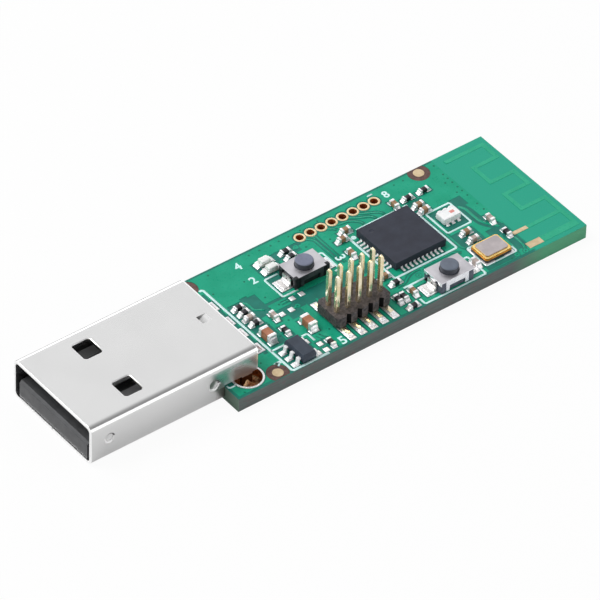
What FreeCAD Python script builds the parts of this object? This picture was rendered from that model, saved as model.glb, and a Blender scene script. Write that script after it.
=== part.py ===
import FreeCAD, Part
import math
import os

Vector = FreeCAD.Vector

# Radio stick: a bare circuit board with a full-size USB plug at one end and a printed aerial at the other.
# X runs from the plug's tip to the aerial end, Y to the edge with the row of plated holes, Z up.
# The origin is at the middle of the stick, on the plane of the board's underside. Lengths are millimetres.

# Board and plug
board_length = 41.3
board_width = 16.0
# Board size on which the circuit layout was drawn; on another board its places spread out evenly
layout_length = 41.3
layout_width = 16.0
board_thickness = 1.6
shell_length = 19.0
shell_width = 12.0
shell_height = 4.5
shell_sheet = 0.3
shell_corner = 0.7
shell_edge_break = 0.08
# Length of board that lies under the plug's rear roof
shell_overlap = 3.7
# How far the plug's underside lies below the board's top face
plug_sink = 1.5
# Running room between the board's front edge and the cut in the shell
shell_board_gap = 0.12
# Height of the shell's side walls above the board behind that cut
wall_lift = 0.3

# Openings and stampings in the shell
window_length = 2.0
window_width = 2.3
window_corner = 0.2
window_from_tip = 6.2
window_offset = 3.1
seam_gap = 0.12
seam_tooth_length = 2.4
seam_tooth_depth = 0.9
seam_tooth_flare = 0.3
seam_tooth_places = (4.0, 9.6)
dimple_height = 2.4
dimple_depth = 0.15
# Width of a dimple's flat floor as a share of its mouth
dimple_floor_share = 0.5
front_dimple_from_tip = 2.1
front_dimple_radius = 0.58
rear_dimple_from_tip = 14.0
rear_dimple_radius = 0.65
lance_length = 0.95
lance_width = 1.15
lance_from_rear = 1.2
lance_slit = 0.12
lance_angle = 17.0

# Legs of the shell and the plated holes that take them
leg_width = 1.2
leg_from_rear = 1.2
leg_end_gap = 0.1
leg_chamfer = 0.25
leg_hole_radius = 1.4
leg_hole_outboard = 0.05

# Plastic insert of the plug and its contacts
insert_fit = 0.05
tongue_side_gap = 0.45
tongue_gap = 1.95
tongue_chamfer = 0.25
tongue_setback = 0.1
carrier_from_tip = 11.2
carrier_from_rear = 0.6
contact_width = 1.0
contact_thickness = 0.2
contact_proud = 0.05
contact_bend = 0.12
contact_tail_end = 1.8
contact_names = ("ground", "data_plus", "data_minus", "power")
contact_places = (-3.5, -1.0, 1.0, 3.5)
contact_starts = (1.4, 2.4, 2.4, 1.4)

# Copper on the board
pad_thickness = 0.05
plating = 0.06
ring_width = 0.22
leg_ring_width = 0.15
barrel_wall_sides = 12
ring_sides = 16
leg_barrel_sides = 24

# Row of plated holes along the far edge
row_count = 8
row_pitch = 1.27
row_hole_radius = 0.38
row_start = 18.23
row_from_edge = 1.49

# Radio chip
chip_side = 6.0
chip_height = 0.85
chip_lift = 0.03
chip_x = 25.6
chip_y = 0.45
chip_pitch = 0.5
chip_pads_per_side = 10
chip_terminal_width = 0.24
chip_terminal_length = 0.4
chip_terminal_height = 0.2
chip_heat_pad = 4.4
chip_pad_length = 0.85
chip_pad_outward = 0.5
chip_dot_radius = 0.25
chip_dot_inset = 1.0
chip_dot_depth = 0.03

# Crystal
crystal_length = 3.2
crystal_width = 2.5
crystal_corner = 0.18
crystal_base_height = 0.38
crystal_ring_inset = 0.06
crystal_ring_height = 0.16
crystal_ring_wall = 0.4
crystal_lid_inset = 0.27
crystal_lid_height = 0.13
crystal_x = 31.65
crystal_from_edge = 2.4
crystal_pad_length = 1.2
crystal_pad_width = 1.0
crystal_pad_overhang = 0.16

# Push switches
switch_length = 3.9
switch_depth = 2.56
switch_base_height = 1.22
switch_lift = 0.06
switch_fit = 0.03
well_radius = 1.08
well_floor = 0.4
cover_sheet = 0.12
cover_side_overhang = 0.05
cover_front_overhang = 0.03
cover_hole_gap = 0.05
# Share of a side's length that the middle tab and each gap beside it take
side_tab_share = 0.32
side_notch_share = 0.15
side_tab_drop = 0.28
apron_width = 2.7
apron_drop = 0.55
apron_leg_width = 0.42
apron_leg_end = 0.12
plunger_radius = 0.91
plunger_top = 2.0
plunger_collar_height = 0.25
plunger_nub_radius = 0.4
plunger_nub_length = 0.2
plunger_edge_break = 0.09
plunger_rest_gap = 0.03
dome_radius = 1.0
dome_rise = 0.3
dome_sheet = 0.07
dome_top_share = 0.45
terminal_sheet = 0.12
terminal_width = 1.3
terminal_top = 0.9
terminal_foot = 0.75
terminal_tang = 0.35
middle_switch_x = 15.32
middle_switch_y = 2.11
edge_switch_x = 25.9
edge_switch_from_edge = 1.6
switch_pad_length = 1.22
switch_pad_width = 1.6

# Two-row pin header
header_columns = 5
header_pitch = 1.27
header_x = 16.12
header_from_edge = 3.55
header_body_width = 3.4
header_body_height = 1.15
header_body_lift = 0.35
header_notch = 0.28
pin_side = 0.41
pin_top = 5.85
pin_point = 0.5
pin_point_side = 0.18
tail_height = 0.22
tail_reach = 1.9
tail_bend = 0.1
header_pad_length = 2.35
header_pad_width = 0.76
header_pad_overhang = 0.75

# Voltage regulator with five leads
regulator_length = 2.9
regulator_width = 1.6
regulator_height = 1.0
regulator_lift = 0.1
regulator_taper = 0.12
regulator_lead_height = 0.72
regulator_lead_sheet = 0.15
regulator_lead_width = 0.4
regulator_lead_pitch = 0.95
regulator_lead_reach = 0.7
regulator_foot = 0.42
regulator_x = 8.35
regulator_from_edge = 1.6
regulator_pad_length = 0.75
regulator_pad_width = 0.6

# Indicator lamps
lamp_length = 1.6
lamp_width = 0.8
lamp_base_height = 0.22
lamp_lens_length = 1.1
lamp_lens_height = 0.36
lamp_lens_taper = 0.05
lamp_x = 13.3
lamp_from_edge = 2.4
lamp_pitch = 1.15

# Aerial filter block
filter_length = 2.0
filter_width = 1.3
filter_height = 0.68
filter_x = 31.3
filter_y = 0.45
filter_terminal_width = 0.35
filter_terminal_pitch = 0.65
filter_terminal_sheet = 0.04
filter_terminal_wrap = 0.18
filter_pad_length = 0.5

# Printed aerial: distances from the board's front edge, and Y
aerial_width = 0.45
aerial_start = 34.85
aerial_inner_turn = 37.8
aerial_outer_turn = 40.65
aerial_last_start = 36.05
aerial_feed_y = -4.9
aerial_short_width = 0.8
aerial_short_y = -7.1
aerial_turn_places = (-2.55, 0.0, 2.15, 4.75, 6.95)

# Chip capacitors and resistors: length, width, height, length of an end cap
small_capacitor = (1.0, 0.5, 0.5, 0.24)
large_capacitor = (1.6, 0.86, 0.88, 0.34)
small_resistor = (1.0, 0.5, 0.37, 0.22)
end_cap_proud = 0.02
small_pad = 0.56
large_pad = 1.0

# Place of each capacitor: distance from the board's front edge, Y, direction of its length
capacitor_places = {
    "input_capacitor": (large_capacitor, 7.2, -2.95, "y"),
    "output_capacitor": (large_capacitor, 11.3, -3.83, "y"),
    "usb_capacitor": (small_capacitor, 7.41, 0.11, "x"),
    "reset_capacitor": (small_capacitor, 9.4, -1.0, "y"),
    "row_capacitor_a": (small_capacitor, 21.15, 3.75, "x"),
    "row_capacitor_b": (small_capacitor, 22.15, 4.6, "x"),
    "chip_capacitor_left": (small_capacitor, 20.65, 1.7, "y"),
    "chip_capacitor_low": (small_capacitor, 21.15, -2.7, "x"),
    "switch_capacitor": (small_capacitor, 22.0, -5.95, "y"),
    "crystal_capacitor": (small_capacitor, 29.3, -6.2, "y"),
    "filter_capacitor_a": (small_capacitor, 31.25, -2.3, "x"),
    "filter_capacitor_b": (small_capacitor, 31.2, -3.5, "x"),
    "aerial_capacitor": (small_capacitor, 34.3, -2.1, "y"),
    "chip_capacitor_top": (small_capacitor, 28.22, 4.8, "y"),
    "chip_capacitor_right_a": (small_capacitor, 30.03, 3.4, "x"),
    "chip_capacitor_right_b": (small_capacitor, 30.06, 2.5, "x"),
}

# Resistors in groups, each group one set of like parts
resistor_groups = {
    "usb_resistors": [(7.44, 1.85, "x"), (7.46, 0.98, "x"), (7.46, -0.76, "x")],
    "regulator_resistors": [(9.06, -3.2, "y"), (11.5, -6.95, "y")],
    "lamp_resistors": [(15.78, 5.58, "x"), (15.82, 4.7, "x")],
    "switch_resistors": [(20.2, -5.95, "y"), (20.9, -5.95, "y"), (21.5, -3.97, "x"), (20.85, -7.5, "x")],
    "aerial_resistors": [(29.85, 4.86, "x"), (31.8, 4.88, "x"), (34.4, -4.5, "y")],
}

# Pads that carry no part: distance from the board's front edge and Y
empty_pad_places = [(10.3, -1.1), (11.4, -1.1), (12.4, 0.1), (13.5, 0.1), (10.65, -6.42), (10.65, -7.4)]

# Places worked out from the sizes above
total_length = shell_length + board_length - shell_overlap
plug_tip = -total_length / 2
shell_rear = plug_tip + shell_length
board_front = shell_rear - shell_overlap
board_rear = board_front + board_length
board_top = board_thickness
pad_top = board_top + pad_thickness
shell_bottom = board_top - plug_sink
shell_top = shell_bottom + shell_height
inner_bottom = shell_bottom + shell_sheet
inner_top = shell_top - shell_sheet
inner_width = shell_width - 2 * shell_sheet
tongue_top = inner_top - tongue_gap
wall_bottom = board_top + wall_lift
cut_front = board_front - shell_board_gap
leg_x = shell_rear - leg_from_rear
leg_hole_y = shell_width / 2 + leg_hole_outboard
far_edge = board_width / 2
near_edge = -board_width / 2


def block(x_low, x_high, y_low, y_high, z_low, z_high):
    corner = Vector(x_low, y_low, z_low)
    return Part.makeBox(x_high - x_low, y_high - y_low, z_high - z_low, corner)


def centred_block(x, y, bottom, length, width, height):
    return block(x - length / 2, x + length / 2, y - width / 2, y + width / 2, bottom, bottom + height)


def edges_along(shape, direction):
    chosen = []
    for edge in shape.Edges:
        start = edge.Vertexes[0].Point
        end = edge.Vertexes[-1].Point
        run = end - start
        if run.Length > 1e-6 and abs(abs(run.normalize().dot(direction)) - 1) < 1e-6:
            chosen.append(edge)
    return chosen


def rounded_bar(x_low, x_high, width, bottom, top, radius):
    bar = block(x_low, x_high, -width / 2, width / 2, bottom, top)
    return bar.makeFillet(radius, edges_along(bar, Vector(1, 0, 0)))


def trimmed_plate(x, y, bottom, length, width, height, corner):
    """Plate whose four upright corners are cut off."""
    plate = centred_block(x, y, bottom, length, width, height)
    return plate.makeChamfer(corner, edges_along(plate, Vector(0, 0, 1)))


def many_sided_loop(x, y, z, reach, sides):
    """Closed loop of straight runs whose corners lie on a circle."""
    corners = []
    for index in range(sides):
        angle = 2 * math.pi * index / sides
        corners.append(Vector(x + reach * math.cos(angle), y + reach * math.sin(angle), z))
    return Part.makePolygon(corners + corners[:1])


def many_sided_prism(x, y, bottom, height, inner_radius, sides):
    """Upright prism whose sides are tangent to a circle."""
    reach = inner_radius / math.cos(math.pi / sides)
    return Part.Face(many_sided_loop(x, y, bottom, reach, sides)).extrude(Vector(0, 0, height))


def many_sided_cone(x, y, bottom, height, low_reach, high_reach, sides):
    """Upright cut-off cone with flat sides."""
    return Part.makeLoft([many_sided_loop(x, y, bottom, low_reach, sides),
                          many_sided_loop(x, y, bottom + height, high_reach, sides)], True)


def extrude_profile(points, plane_point, direction):
    """Closed outline through the points, pushed along a direction."""
    corners = [plane_point + point for point in points]
    face = Part.Face(Part.makePolygon(corners + corners[:1]))
    return face.extrude(direction)


def from_front(distance):
    """X of a place in the circuit layout."""
    return board_front + distance * board_length / layout_length


def across(place):
    """Y of a place in the circuit layout."""
    return place * board_width / layout_width


def fuse_all(shapes):
    return shapes[0].multiFuse(shapes[1:]).removeSplitter()


# Shell of the plug: one folded sheet with a seam underneath

def seam_cut():
    """A thin gap along the underside, stepped round each dovetail tooth."""
    points = [Vector(plug_tip - 1, 0, 0)]
    for place in seam_tooth_places:
        start = plug_tip + place
        end = start + seam_tooth_length
        points.append(Vector(start, 0, 0))
        points.append(Vector(start - seam_tooth_flare, seam_tooth_depth, 0))
        points.append(Vector(end + seam_tooth_flare, seam_tooth_depth, 0))
        points.append(Vector(end, 0, 0))
    points.append(Vector(cut_front + 1, 0, 0))
    strips = []
    for start, end in zip(points, points[1:]):
        run = end - start
        strip = Part.makeBox(run.Length + seam_gap, seam_gap, shell_sheet * 3)
        strip.translate(Vector(-seam_gap / 2, -seam_gap / 2, -shell_sheet))
        strip.rotate(Vector(0, 0, 0), Vector(0, 0, 1), math.degrees(math.atan2(run.y, run.x)))
        strip.translate(start + Vector(0, 0, shell_bottom))
        strips.append(strip)
    return strips


def window_cuts():
    cuts = []
    x = plug_tip + window_from_tip
    for y in (-window_offset, window_offset):
        for bottom in (shell_bottom, inner_top):
            hole = trimmed_plate(x, y, bottom - shell_sheet / 2, window_length, window_width,
                                 shell_sheet * 2, window_corner)
            cuts.append(hole)
    return cuts


def dimple_places():
    """Distance from the tip, radius and side of every dimple."""
    places = []
    for side in (-1, 1):
        places.append((front_dimple_from_tip, front_dimple_radius, side))
        places.append((rear_dimple_from_tip, rear_dimple_radius, side))
    return places


def dimple_hollow(from_tip, radius, side):
    """Shallow round cone sunk in the outside of a side wall."""
    start = Vector(plug_tip + from_tip, side * shell_width / 2, shell_bottom + dimple_height)
    return Part.makeCone(radius, radius * dimple_floor_share, dimple_depth, start, Vector(0, -side, 0))


def dimple_bulge(from_tip, radius, side):
    """Where a dimple stands proud on the inside of the same wall."""
    bulge = many_sided_cone(0, 0, 0, dimple_depth, radius, radius * dimple_floor_share, ring_sides)
    bulge.rotate(Vector(0, 0, 0), Vector(1, 0, 0), side * 90)
    bulge.translate(Vector(plug_tip + from_tip, side * inner_width / 2, shell_bottom + dimple_height))
    return bulge


def lance_cut():
    rear = shell_rear - lance_from_rear
    return block(rear - lance_length - lance_slit, rear, -lance_width / 2 - lance_slit,
                 lance_width / 2 + lance_slit, inner_top - shell_sheet / 2, shell_top + shell_sheet / 2)


def lance_tab():
    """Small flap pushed into the plug, still joined to the roof at its rear end."""
    rear = shell_rear - lance_from_rear
    tab = block(rear - lance_length, rear, -lance_width / 2, lance_width / 2, inner_top, shell_top)
    tab.rotate(Vector(rear, 0, shell_top), Vector(0, 1, 0), -lance_angle)
    root = block(rear - shell_sheet, rear + shell_sheet, -lance_width / 2, lance_width / 2, inner_top, shell_top)
    reach = block(rear - 2 * lance_length, rear + lance_slit, -lance_width, lance_width,
                  inner_top - lance_length, shell_top)
    return tab.fuse(root).common(reach)


def shell_leg(side):
    outer = side * shell_width / 2
    inner = side * inner_width / 2
    bottom = leg_end_gap
    leg = block(leg_x - leg_width / 2, leg_x + leg_width / 2, min(outer, inner), max(outer, inner),
                bottom, wall_bottom)
    corners = []
    for edge in edges_along(leg, Vector(0, 1, 0)):
        if edge.Vertexes[0].Z < bottom + 1e-6:
            corners.append(edge)
    return leg.makeChamfer(leg_chamfer, corners)


def make_usb_shell():
    outer = rounded_bar(plug_tip, shell_rear, shell_width, shell_bottom, shell_top, shell_corner)
    rim = [edge for edge in outer.Edges if all(abs(v.X - plug_tip) < 1e-6 for v in edge.Vertexes)]
    outer = outer.makeChamfer(shell_edge_break, rim)
    inner = rounded_bar(plug_tip - 1, shell_rear + 1, inner_width, inner_bottom, inner_top,
                        shell_corner - shell_sheet)
    shell = outer.cut(inner)
    rear_cut = block(cut_front, shell_rear + 1, -shell_width, shell_width, shell_bottom - 1, wall_bottom)
    shell = shell.cut([rear_cut, lance_cut()] + window_cuts() + seam_cut())
    additions = [lance_tab(), shell_leg(-1), shell_leg(1)]
    hollows = []
    for from_tip, radius, side in dimple_places():
        additions.append(dimple_bulge(from_tip, radius, side))
        hollows.append(dimple_hollow(from_tip, radius, side))
    return shell.multiFuse(additions).cut(hollows).removeSplitter()


# Contacts and plastic insert of the plug

def make_usb_contact(index):
    """A flat spring strip along the tongue, stepped down to a soldered tail behind the plug."""
    front = plug_tip + contact_starts[index]
    drop = shell_rear - carrier_from_rear + insert_fit
    tail_end = shell_rear + contact_tail_end
    top = tongue_top + contact_proud
    foot = pad_top
    thick = contact_thickness
    outline = [
        Vector(front, 0, top - thick),
        Vector(front, 0, top - thick / 2),
        Vector(front + thick, 0, top),
        Vector(drop + thick, 0, top),
        Vector(drop + thick, 0, foot + thick),
        Vector(tail_end, 0, foot + thick),
        Vector(tail_end, 0, foot),
        Vector(drop, 0, foot),
        Vector(drop, 0, top - thick),
    ]
    start = Vector(0, contact_places[index] - contact_width / 2, 0)
    strip = extrude_profile(outline, start, Vector(0, contact_width, 0))
    bends = []
    for edge in edges_along(strip, Vector(0, 1, 0)):
        point = edge.Vertexes[0].Point
        if abs(point.x - drop) < 1e-6 or abs(point.x - drop - thick) < 1e-6:
            bends.append(edge)
    return strip.makeChamfer(contact_bend, bends)


def make_usb_tongue(contacts):
    bottom = inner_bottom + insert_fit
    tongue_width = inner_width - 2 * tongue_side_gap
    carrier_front = plug_tip + carrier_from_tip
    carrier_rear = shell_rear - carrier_from_rear
    tongue = block(plug_tip + tongue_setback, carrier_front + 1, -tongue_width / 2, tongue_width / 2,
                   bottom, tongue_top)
    lead_in = []
    for edge in edges_along(tongue, Vector(0, 1, 0)):
        point = edge.Vertexes[0].Point
        if point.x < plug_tip + 1 and point.z > tongue_top - 1e-6:
            lead_in.append(edge)
    tongue = tongue.makeChamfer(tongue_chamfer, lead_in)
    carrier = rounded_bar(carrier_front, carrier_rear, inner_width - 2 * insert_fit, bottom,
                          inner_top - insert_fit, shell_corner - shell_sheet)
    insert = tongue.fuse(carrier)
    over_board = block(cut_front, carrier_rear + 1, -shell_width, shell_width, shell_bottom - 1,
                       board_top + insert_fit)
    cuts = [over_board]
    pocket_side = 2 * (rear_dimple_radius + insert_fit)
    pocket_depth = 2 * (dimple_depth + insert_fit)
    for side in (-1, 1):
        x = plug_tip + rear_dimple_from_tip
        pocket_bottom = shell_bottom + dimple_height - pocket_side / 2
        cuts.append(centred_block(x, side * inner_width / 2, pocket_bottom, pocket_side, pocket_depth, pocket_side))
    rear = shell_rear - lance_from_rear
    drop = lance_length * math.sin(math.radians(lance_angle)) + 4 * insert_fit
    cuts.append(block(rear - lance_length - 2 * lance_slit, rear + lance_slit, -lance_width / 2 - lance_slit,
                      lance_width / 2 + lance_slit, inner_top - drop, inner_top))
    return insert.cut(cuts + contacts).removeSplitter()


# Board and its plated holes

def row_hole_places():
    y = far_edge - row_from_edge
    return [(from_front(row_start) + index * row_pitch, y) for index in range(row_count)]


def leg_hole_places():
    return [(leg_x, -leg_hole_y), (leg_x, leg_hole_y)]


def make_board():
    board = block(board_front, board_rear, near_edge, far_edge, 0, board_top)
    drills = []
    for x, y in row_hole_places():
        drills.append(many_sided_prism(x, y, -1, board_top + 2, row_hole_radius + plating, barrel_wall_sides))
    for x, y in leg_hole_places():
        drills.append(many_sided_prism(x, y, -1, board_top + 2, leg_hole_radius + plating, leg_barrel_sides))
    return board.cut(drills)


def make_barrel(x, y, hole_radius, ring_reach, wall_sides, bore_sides):
    """Copper barrel of a plated hole: a thin wall, its lower end flush, and a flat ring on the board's top face."""
    wall = many_sided_prism(x, y, 0, board_top, hole_radius + plating, wall_sides)
    ring = many_sided_prism(x, y, board_top, pad_thickness, hole_radius + ring_reach, bore_sides)
    bore = many_sided_prism(x, y, -1, board_top + 2, hole_radius, bore_sides)
    return wall.fuse(ring).cut(bore).removeSplitter()


def make_header_hole_barrels():
    return [make_barrel(x, y, row_hole_radius, ring_width, barrel_wall_sides, ring_sides)
            for x, y in row_hole_places()]


def make_leg_hole_barrels():
    return [make_barrel(x, y, leg_hole_radius, leg_ring_width, leg_barrel_sides, leg_barrel_sides)
            for x, y in leg_hole_places()]


# Radio chip

def chip_centre():
    return from_front(chip_x), across(chip_y)


def chip_rows():
    """Centre and outward direction of every terminal round the chip."""
    x, y = chip_centre()
    places = []
    span = (chip_pads_per_side - 1) * chip_pitch
    for index in range(chip_pads_per_side):
        along = -span / 2 + index * chip_pitch
        edge = chip_side / 2
        places.append((x + along, y - edge, 0, -1))
        places.append((x + along, y + edge, 0, 1))
        places.append((x - edge, y + along, -1, 0))
        places.append((x + edge, y + along, 1, 0))
    return places


def make_chip_terminals():
    terminals = []
    for x, y, out_x, out_y in chip_rows():
        length = chip_terminal_length if out_x else chip_terminal_width
        width = chip_terminal_length if out_y else chip_terminal_width
        middle_x = x - out_x * chip_terminal_length / 2
        middle_y = y - out_y * chip_terminal_length / 2
        terminals.append(centred_block(middle_x, middle_y, pad_top, length, width, chip_terminal_height))
    x, y = chip_centre()
    heat_pad = centred_block(x, y, pad_top, chip_heat_pad, chip_heat_pad, chip_terminal_height)
    return terminals + [heat_pad]


def make_radio_chip(terminals):
    x, y = chip_centre()
    bottom = pad_top + chip_lift
    body = centred_block(x, y, bottom, chip_side, chip_side, chip_height)
    corner = chip_side / 2 - chip_dot_inset
    dot = many_sided_prism(x - corner, y + corner, bottom + chip_height - chip_dot_depth, chip_dot_depth * 2,
                           chip_dot_radius, ring_sides)
    return body.cut(terminals + [dot])


# Crystal in its three layers

def crystal_centre():
    return from_front(crystal_x), near_edge + crystal_from_edge


def make_crystal_base():
    x, y = crystal_centre()
    return trimmed_plate(x, y, pad_top, crystal_length, crystal_width, crystal_base_height, crystal_corner)


def make_crystal_seal_ring():
    x, y = crystal_centre()
    bottom = pad_top + crystal_base_height
    length = crystal_length - 2 * crystal_ring_inset
    width = crystal_width - 2 * crystal_ring_inset
    ring = trimmed_plate(x, y, bottom, length, width, crystal_ring_height, crystal_corner)
    hollow = trimmed_plate(x, y, bottom - 1, length - 2 * crystal_ring_wall, width - 2 * crystal_ring_wall,
                           crystal_ring_height + 2, crystal_corner)
    return ring.cut(hollow)


def make_crystal_lid():
    x, y = crystal_centre()
    bottom = pad_top + crystal_base_height + crystal_ring_height
    return trimmed_plate(x, y, bottom, crystal_length - 2 * crystal_lid_inset,
                         crystal_width - 2 * crystal_lid_inset, crystal_lid_height, crystal_corner)


# Push switch: base, snap dome, plunger, folded cover and two terminals

def make_switch_terminal(x, y, side):
    """Z-shaped strip: a tang held in the base, a riser down its side and a foot on the pad."""
    outer = switch_length / 2 + terminal_sheet
    foot_end = outer + terminal_foot
    bottom = pad_top
    top = board_top + terminal_top
    outline = [
        Vector(side * (switch_length / 2 - terminal_tang), 0, top - terminal_sheet),
        Vector(side * (switch_length / 2 - terminal_tang), 0, top),
        Vector(side * outer, 0, top),
        Vector(side * outer, 0, bottom + terminal_sheet),
        Vector(side * foot_end, 0, bottom + terminal_sheet),
        Vector(side * foot_end, 0, bottom),
        Vector(side * (outer - terminal_sheet), 0, bottom),
        Vector(side * (outer - terminal_sheet), 0, top - terminal_sheet),
    ]
    start = Vector(x, y - terminal_width / 2, 0)
    return extrude_profile(outline, start, Vector(0, terminal_width, 0))


def cover_plate_bottom():
    return board_top + switch_base_height + switch_fit


def cover_half_length():
    return switch_length / 2 + cover_side_overhang


def cover_half_depth():
    return switch_depth / 2 + cover_front_overhang


def make_switch_base(x, y, terminals):
    """Moulded box, rebated along its short sides for the tabs and along its long sides for the aprons."""
    bottom = board_top + switch_lift
    top = board_top + switch_base_height
    base = centred_block(x, y, bottom, switch_length, switch_depth, top - bottom)
    cuts = [Part.makeCylinder(well_radius, switch_base_height, Vector(x, y, board_top + well_floor))]
    rebate_x = cover_half_length() - cover_sheet - switch_fit
    rebate_y = cover_half_depth() - cover_sheet - switch_fit
    shelf = cover_plate_bottom() - side_tab_drop - switch_fit
    half_apron = apron_width / 2 + switch_fit
    for side in (-1, 1):
        low, high = sorted((side * rebate_x, side * switch_length))
        cuts.append(block(x + low, x + high, y - switch_depth, y + switch_depth, shelf, top + 1))
        low, high = sorted((side * rebate_y, side * switch_depth))
        cuts.append(block(x - half_apron, x + half_apron, y + low, y + high, bottom - 1, top + 1))
    return base.cut(cuts + terminals)


def make_switch_dome(x, y):
    """Shallow metal dome with a flat top, its rim resting on the floor of the well."""
    rim = board_top + well_floor
    flat = dome_radius * dome_top_share
    outside = many_sided_cone(x, y, rim, dome_rise, dome_radius, flat, ring_sides)
    inside = many_sided_cone(x, y, rim, dome_rise - dome_sheet, dome_radius - dome_sheet, flat - dome_sheet / 2,
                             ring_sides)
    return outside.cut(inside)


def make_switch_plunger(x, y):
    nub_bottom = board_top + well_floor + dome_rise + plunger_rest_gap
    collar_bottom = nub_bottom + plunger_nub_length
    collar_top = collar_bottom + plunger_collar_height
    top = board_top + plunger_top
    nub = many_sided_prism(x, y, nub_bottom, collar_bottom - nub_bottom, plunger_nub_radius, ring_sides)
    collar = Part.makeCylinder(well_radius - switch_fit, plunger_collar_height, Vector(x, y, collar_bottom))
    shaft = Part.makeCylinder(plunger_radius, top - collar_top, Vector(x, y, collar_top))
    rim = [edge for edge in shaft.Edges if all(abs(v.Z - top) < 1e-6 for v in edge.Vertexes)]
    shaft = shaft.makeChamfer(plunger_edge_break, rim)
    return fuse_all([collar, nub, shaft])


def make_switch_cover(x, y):
    """Pressed sheet cover: three tabs down each short side, an apron on two legs down each long side."""
    bottom = cover_plate_bottom()
    half_length = cover_half_length()
    half_depth = cover_half_depth()
    pieces = [centred_block(x, y, bottom, 2 * half_length, 2 * half_depth, cover_sheet)]
    tab_half = half_depth * side_tab_share
    tab_start = tab_half + 2 * half_depth * side_notch_share
    for side in (-1, 1):
        low, high = sorted((side * half_length, side * (half_length - cover_sheet)))
        for y_low, y_high in ((-half_depth, -tab_start), (-tab_half, tab_half), (tab_start, half_depth)):
            pieces.append(block(x + low, x + high, y + y_low, y + y_high, bottom - side_tab_drop, bottom))
        low, high = sorted((side * half_depth, side * (half_depth - cover_sheet)))
        apron_bottom = bottom - apron_drop
        pieces.append(block(x - apron_width / 2, x + apron_width / 2, y + low, y + high, apron_bottom, bottom))
        for end in (-1, 1):
            x_low, x_high = sorted((end * apron_width / 2, end * (apron_width / 2 - apron_leg_width)))
            pieces.append(block(x + x_low, x + x_high, y + low, y + high, board_top + apron_leg_end, apron_bottom))
    hole = Part.makeCylinder(plunger_radius + cover_hole_gap, cover_sheet * 4, Vector(x, y, bottom - cover_sheet))
    return fuse_all(pieces).cut(hole)


def switch_nodes(name, x, y):
    left = make_switch_terminal(x, y, -1)
    right = make_switch_terminal(x, y, 1)
    return {
        name + "_switch_base": make_switch_base(x, y, [left, right]),
        name + "_switch_dome": make_switch_dome(x, y),
        name + "_switch_plunger": make_switch_plunger(x, y),
        name + "_switch_cover": make_switch_cover(x, y),
        name + "_switch_left_terminal": left,
        name + "_switch_right_terminal": right,
    }


def switch_places():
    return {
        "middle": (from_front(middle_switch_x), across(middle_switch_y)),
        "edge": (from_front(edge_switch_x), near_edge + edge_switch_from_edge),
    }


# Two-row pin header

def header_pin_x(index):
    return from_front(header_x) + (index - (header_columns - 1) / 2) * header_pitch


def header_row_y(side):
    return near_edge + header_from_edge + side * header_pitch / 2


def make_header_pin(x, side):
    """Square pin with a pointed tip and a tail bent outward under the plastic."""
    y = header_row_y(side)
    half = pin_side / 2
    top = board_top + pin_top
    bottom = pad_top
    outline = [
        Vector(0, -side * half, bottom),
        Vector(0, -side * half, top - pin_point),
        Vector(0, side * half, top - pin_point),
        Vector(0, side * half, bottom + tail_height),
        Vector(0, side * tail_reach, bottom + tail_height),
        Vector(0, side * tail_reach, bottom),
    ]
    pin = extrude_profile(outline, Vector(x - half, y, 0), Vector(pin_side, 0, 0))
    bends = []
    for edge in edges_along(pin, Vector(1, 0, 0)):
        point = edge.Vertexes[0].Point
        if abs(point.y - y + side * half) < 1e-6 and point.z < bottom + 1e-6:
            bends.append(edge)
        if abs(point.y - y - side * half) < 1e-6 and abs(point.z - bottom - tail_height) < 1e-6:
            bends.append(edge)
    pin = pin.makeChamfer(tail_bend, bends)
    square = []
    for side_length, height in ((pin_side, top - pin_point), (pin_point_side, top)):
        reach = side_length / 2
        corners = [Vector(x - reach, y - reach, height), Vector(x + reach, y - reach, height),
                   Vector(x + reach, y + reach, height), Vector(x - reach, y + reach, height)]
        square.append(Part.makePolygon(corners + corners[:1]))
    return pin.fuse(Part.makeLoft(square, True)).removeSplitter()


def make_header_pins(side):
    return [make_header_pin(header_pin_x(index), side) for index in range(header_columns)]


def make_header_body(pins):
    """One moulding whose long sides are notched between the pins."""
    centre_y = near_edge + header_from_edge
    half = header_body_width / 2
    left = header_pin_x(0) - header_pitch / 2
    lower = []
    upper = []
    for index in range(header_columns):
        start = left + index * header_pitch
        end = start + header_pitch
        for x, y in ((start, half - header_notch), (start + header_notch, half),
                     (end - header_notch, half), (end, half - header_notch)):
            lower.append(Vector(x, centre_y - y, 0))
            upper.append(Vector(x, centre_y + y, 0))
    outline = []
    for point in lower + upper[::-1]:
        if not outline or (point - outline[-1]).Length > 1e-6:
            outline.append(point)
    bottom = board_top + header_body_lift
    body = extrude_profile(outline, Vector(0, 0, bottom), Vector(0, 0, header_body_height))
    return body.cut(pins)


# Voltage regulator

def make_regulator_lead(x, y, side):
    """Gull-wing lead, from the body's waist down to its pad."""
    start = regulator_width / 2
    knee = start + (regulator_lead_reach - regulator_foot)
    end = start + regulator_lead_reach
    high = board_top + regulator_lead_height
    low = pad_top
    thick = regulator_lead_sheet
    outline = [
        Vector(side * start, 0, high),
        Vector(side * knee, 0, high),
        Vector(side * (knee + thick / 2), 0, low + thick),
        Vector(side * end, 0, low + thick),
        Vector(side * end, 0, low),
        Vector(side * (knee - thick / 2), 0, low),
        Vector(side * (knee - thick), 0, high - thick),
        Vector(side * start, 0, high - thick),
    ]
    origin = Vector(x, y - regulator_lead_width / 2, 0)
    return extrude_profile(outline, origin, Vector(0, regulator_lead_width, 0))


def regulator_centre():
    return from_front(regulator_x), near_edge + regulator_from_edge


def regulator_lead_places():
    """Side and Y of each lead: three towards the plug, two towards the aerial."""
    places = [(-1, -regulator_lead_pitch), (-1, 0), (-1, regulator_lead_pitch)]
    return places + [(1, -regulator_lead_pitch), (1, regulator_lead_pitch)]


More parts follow.
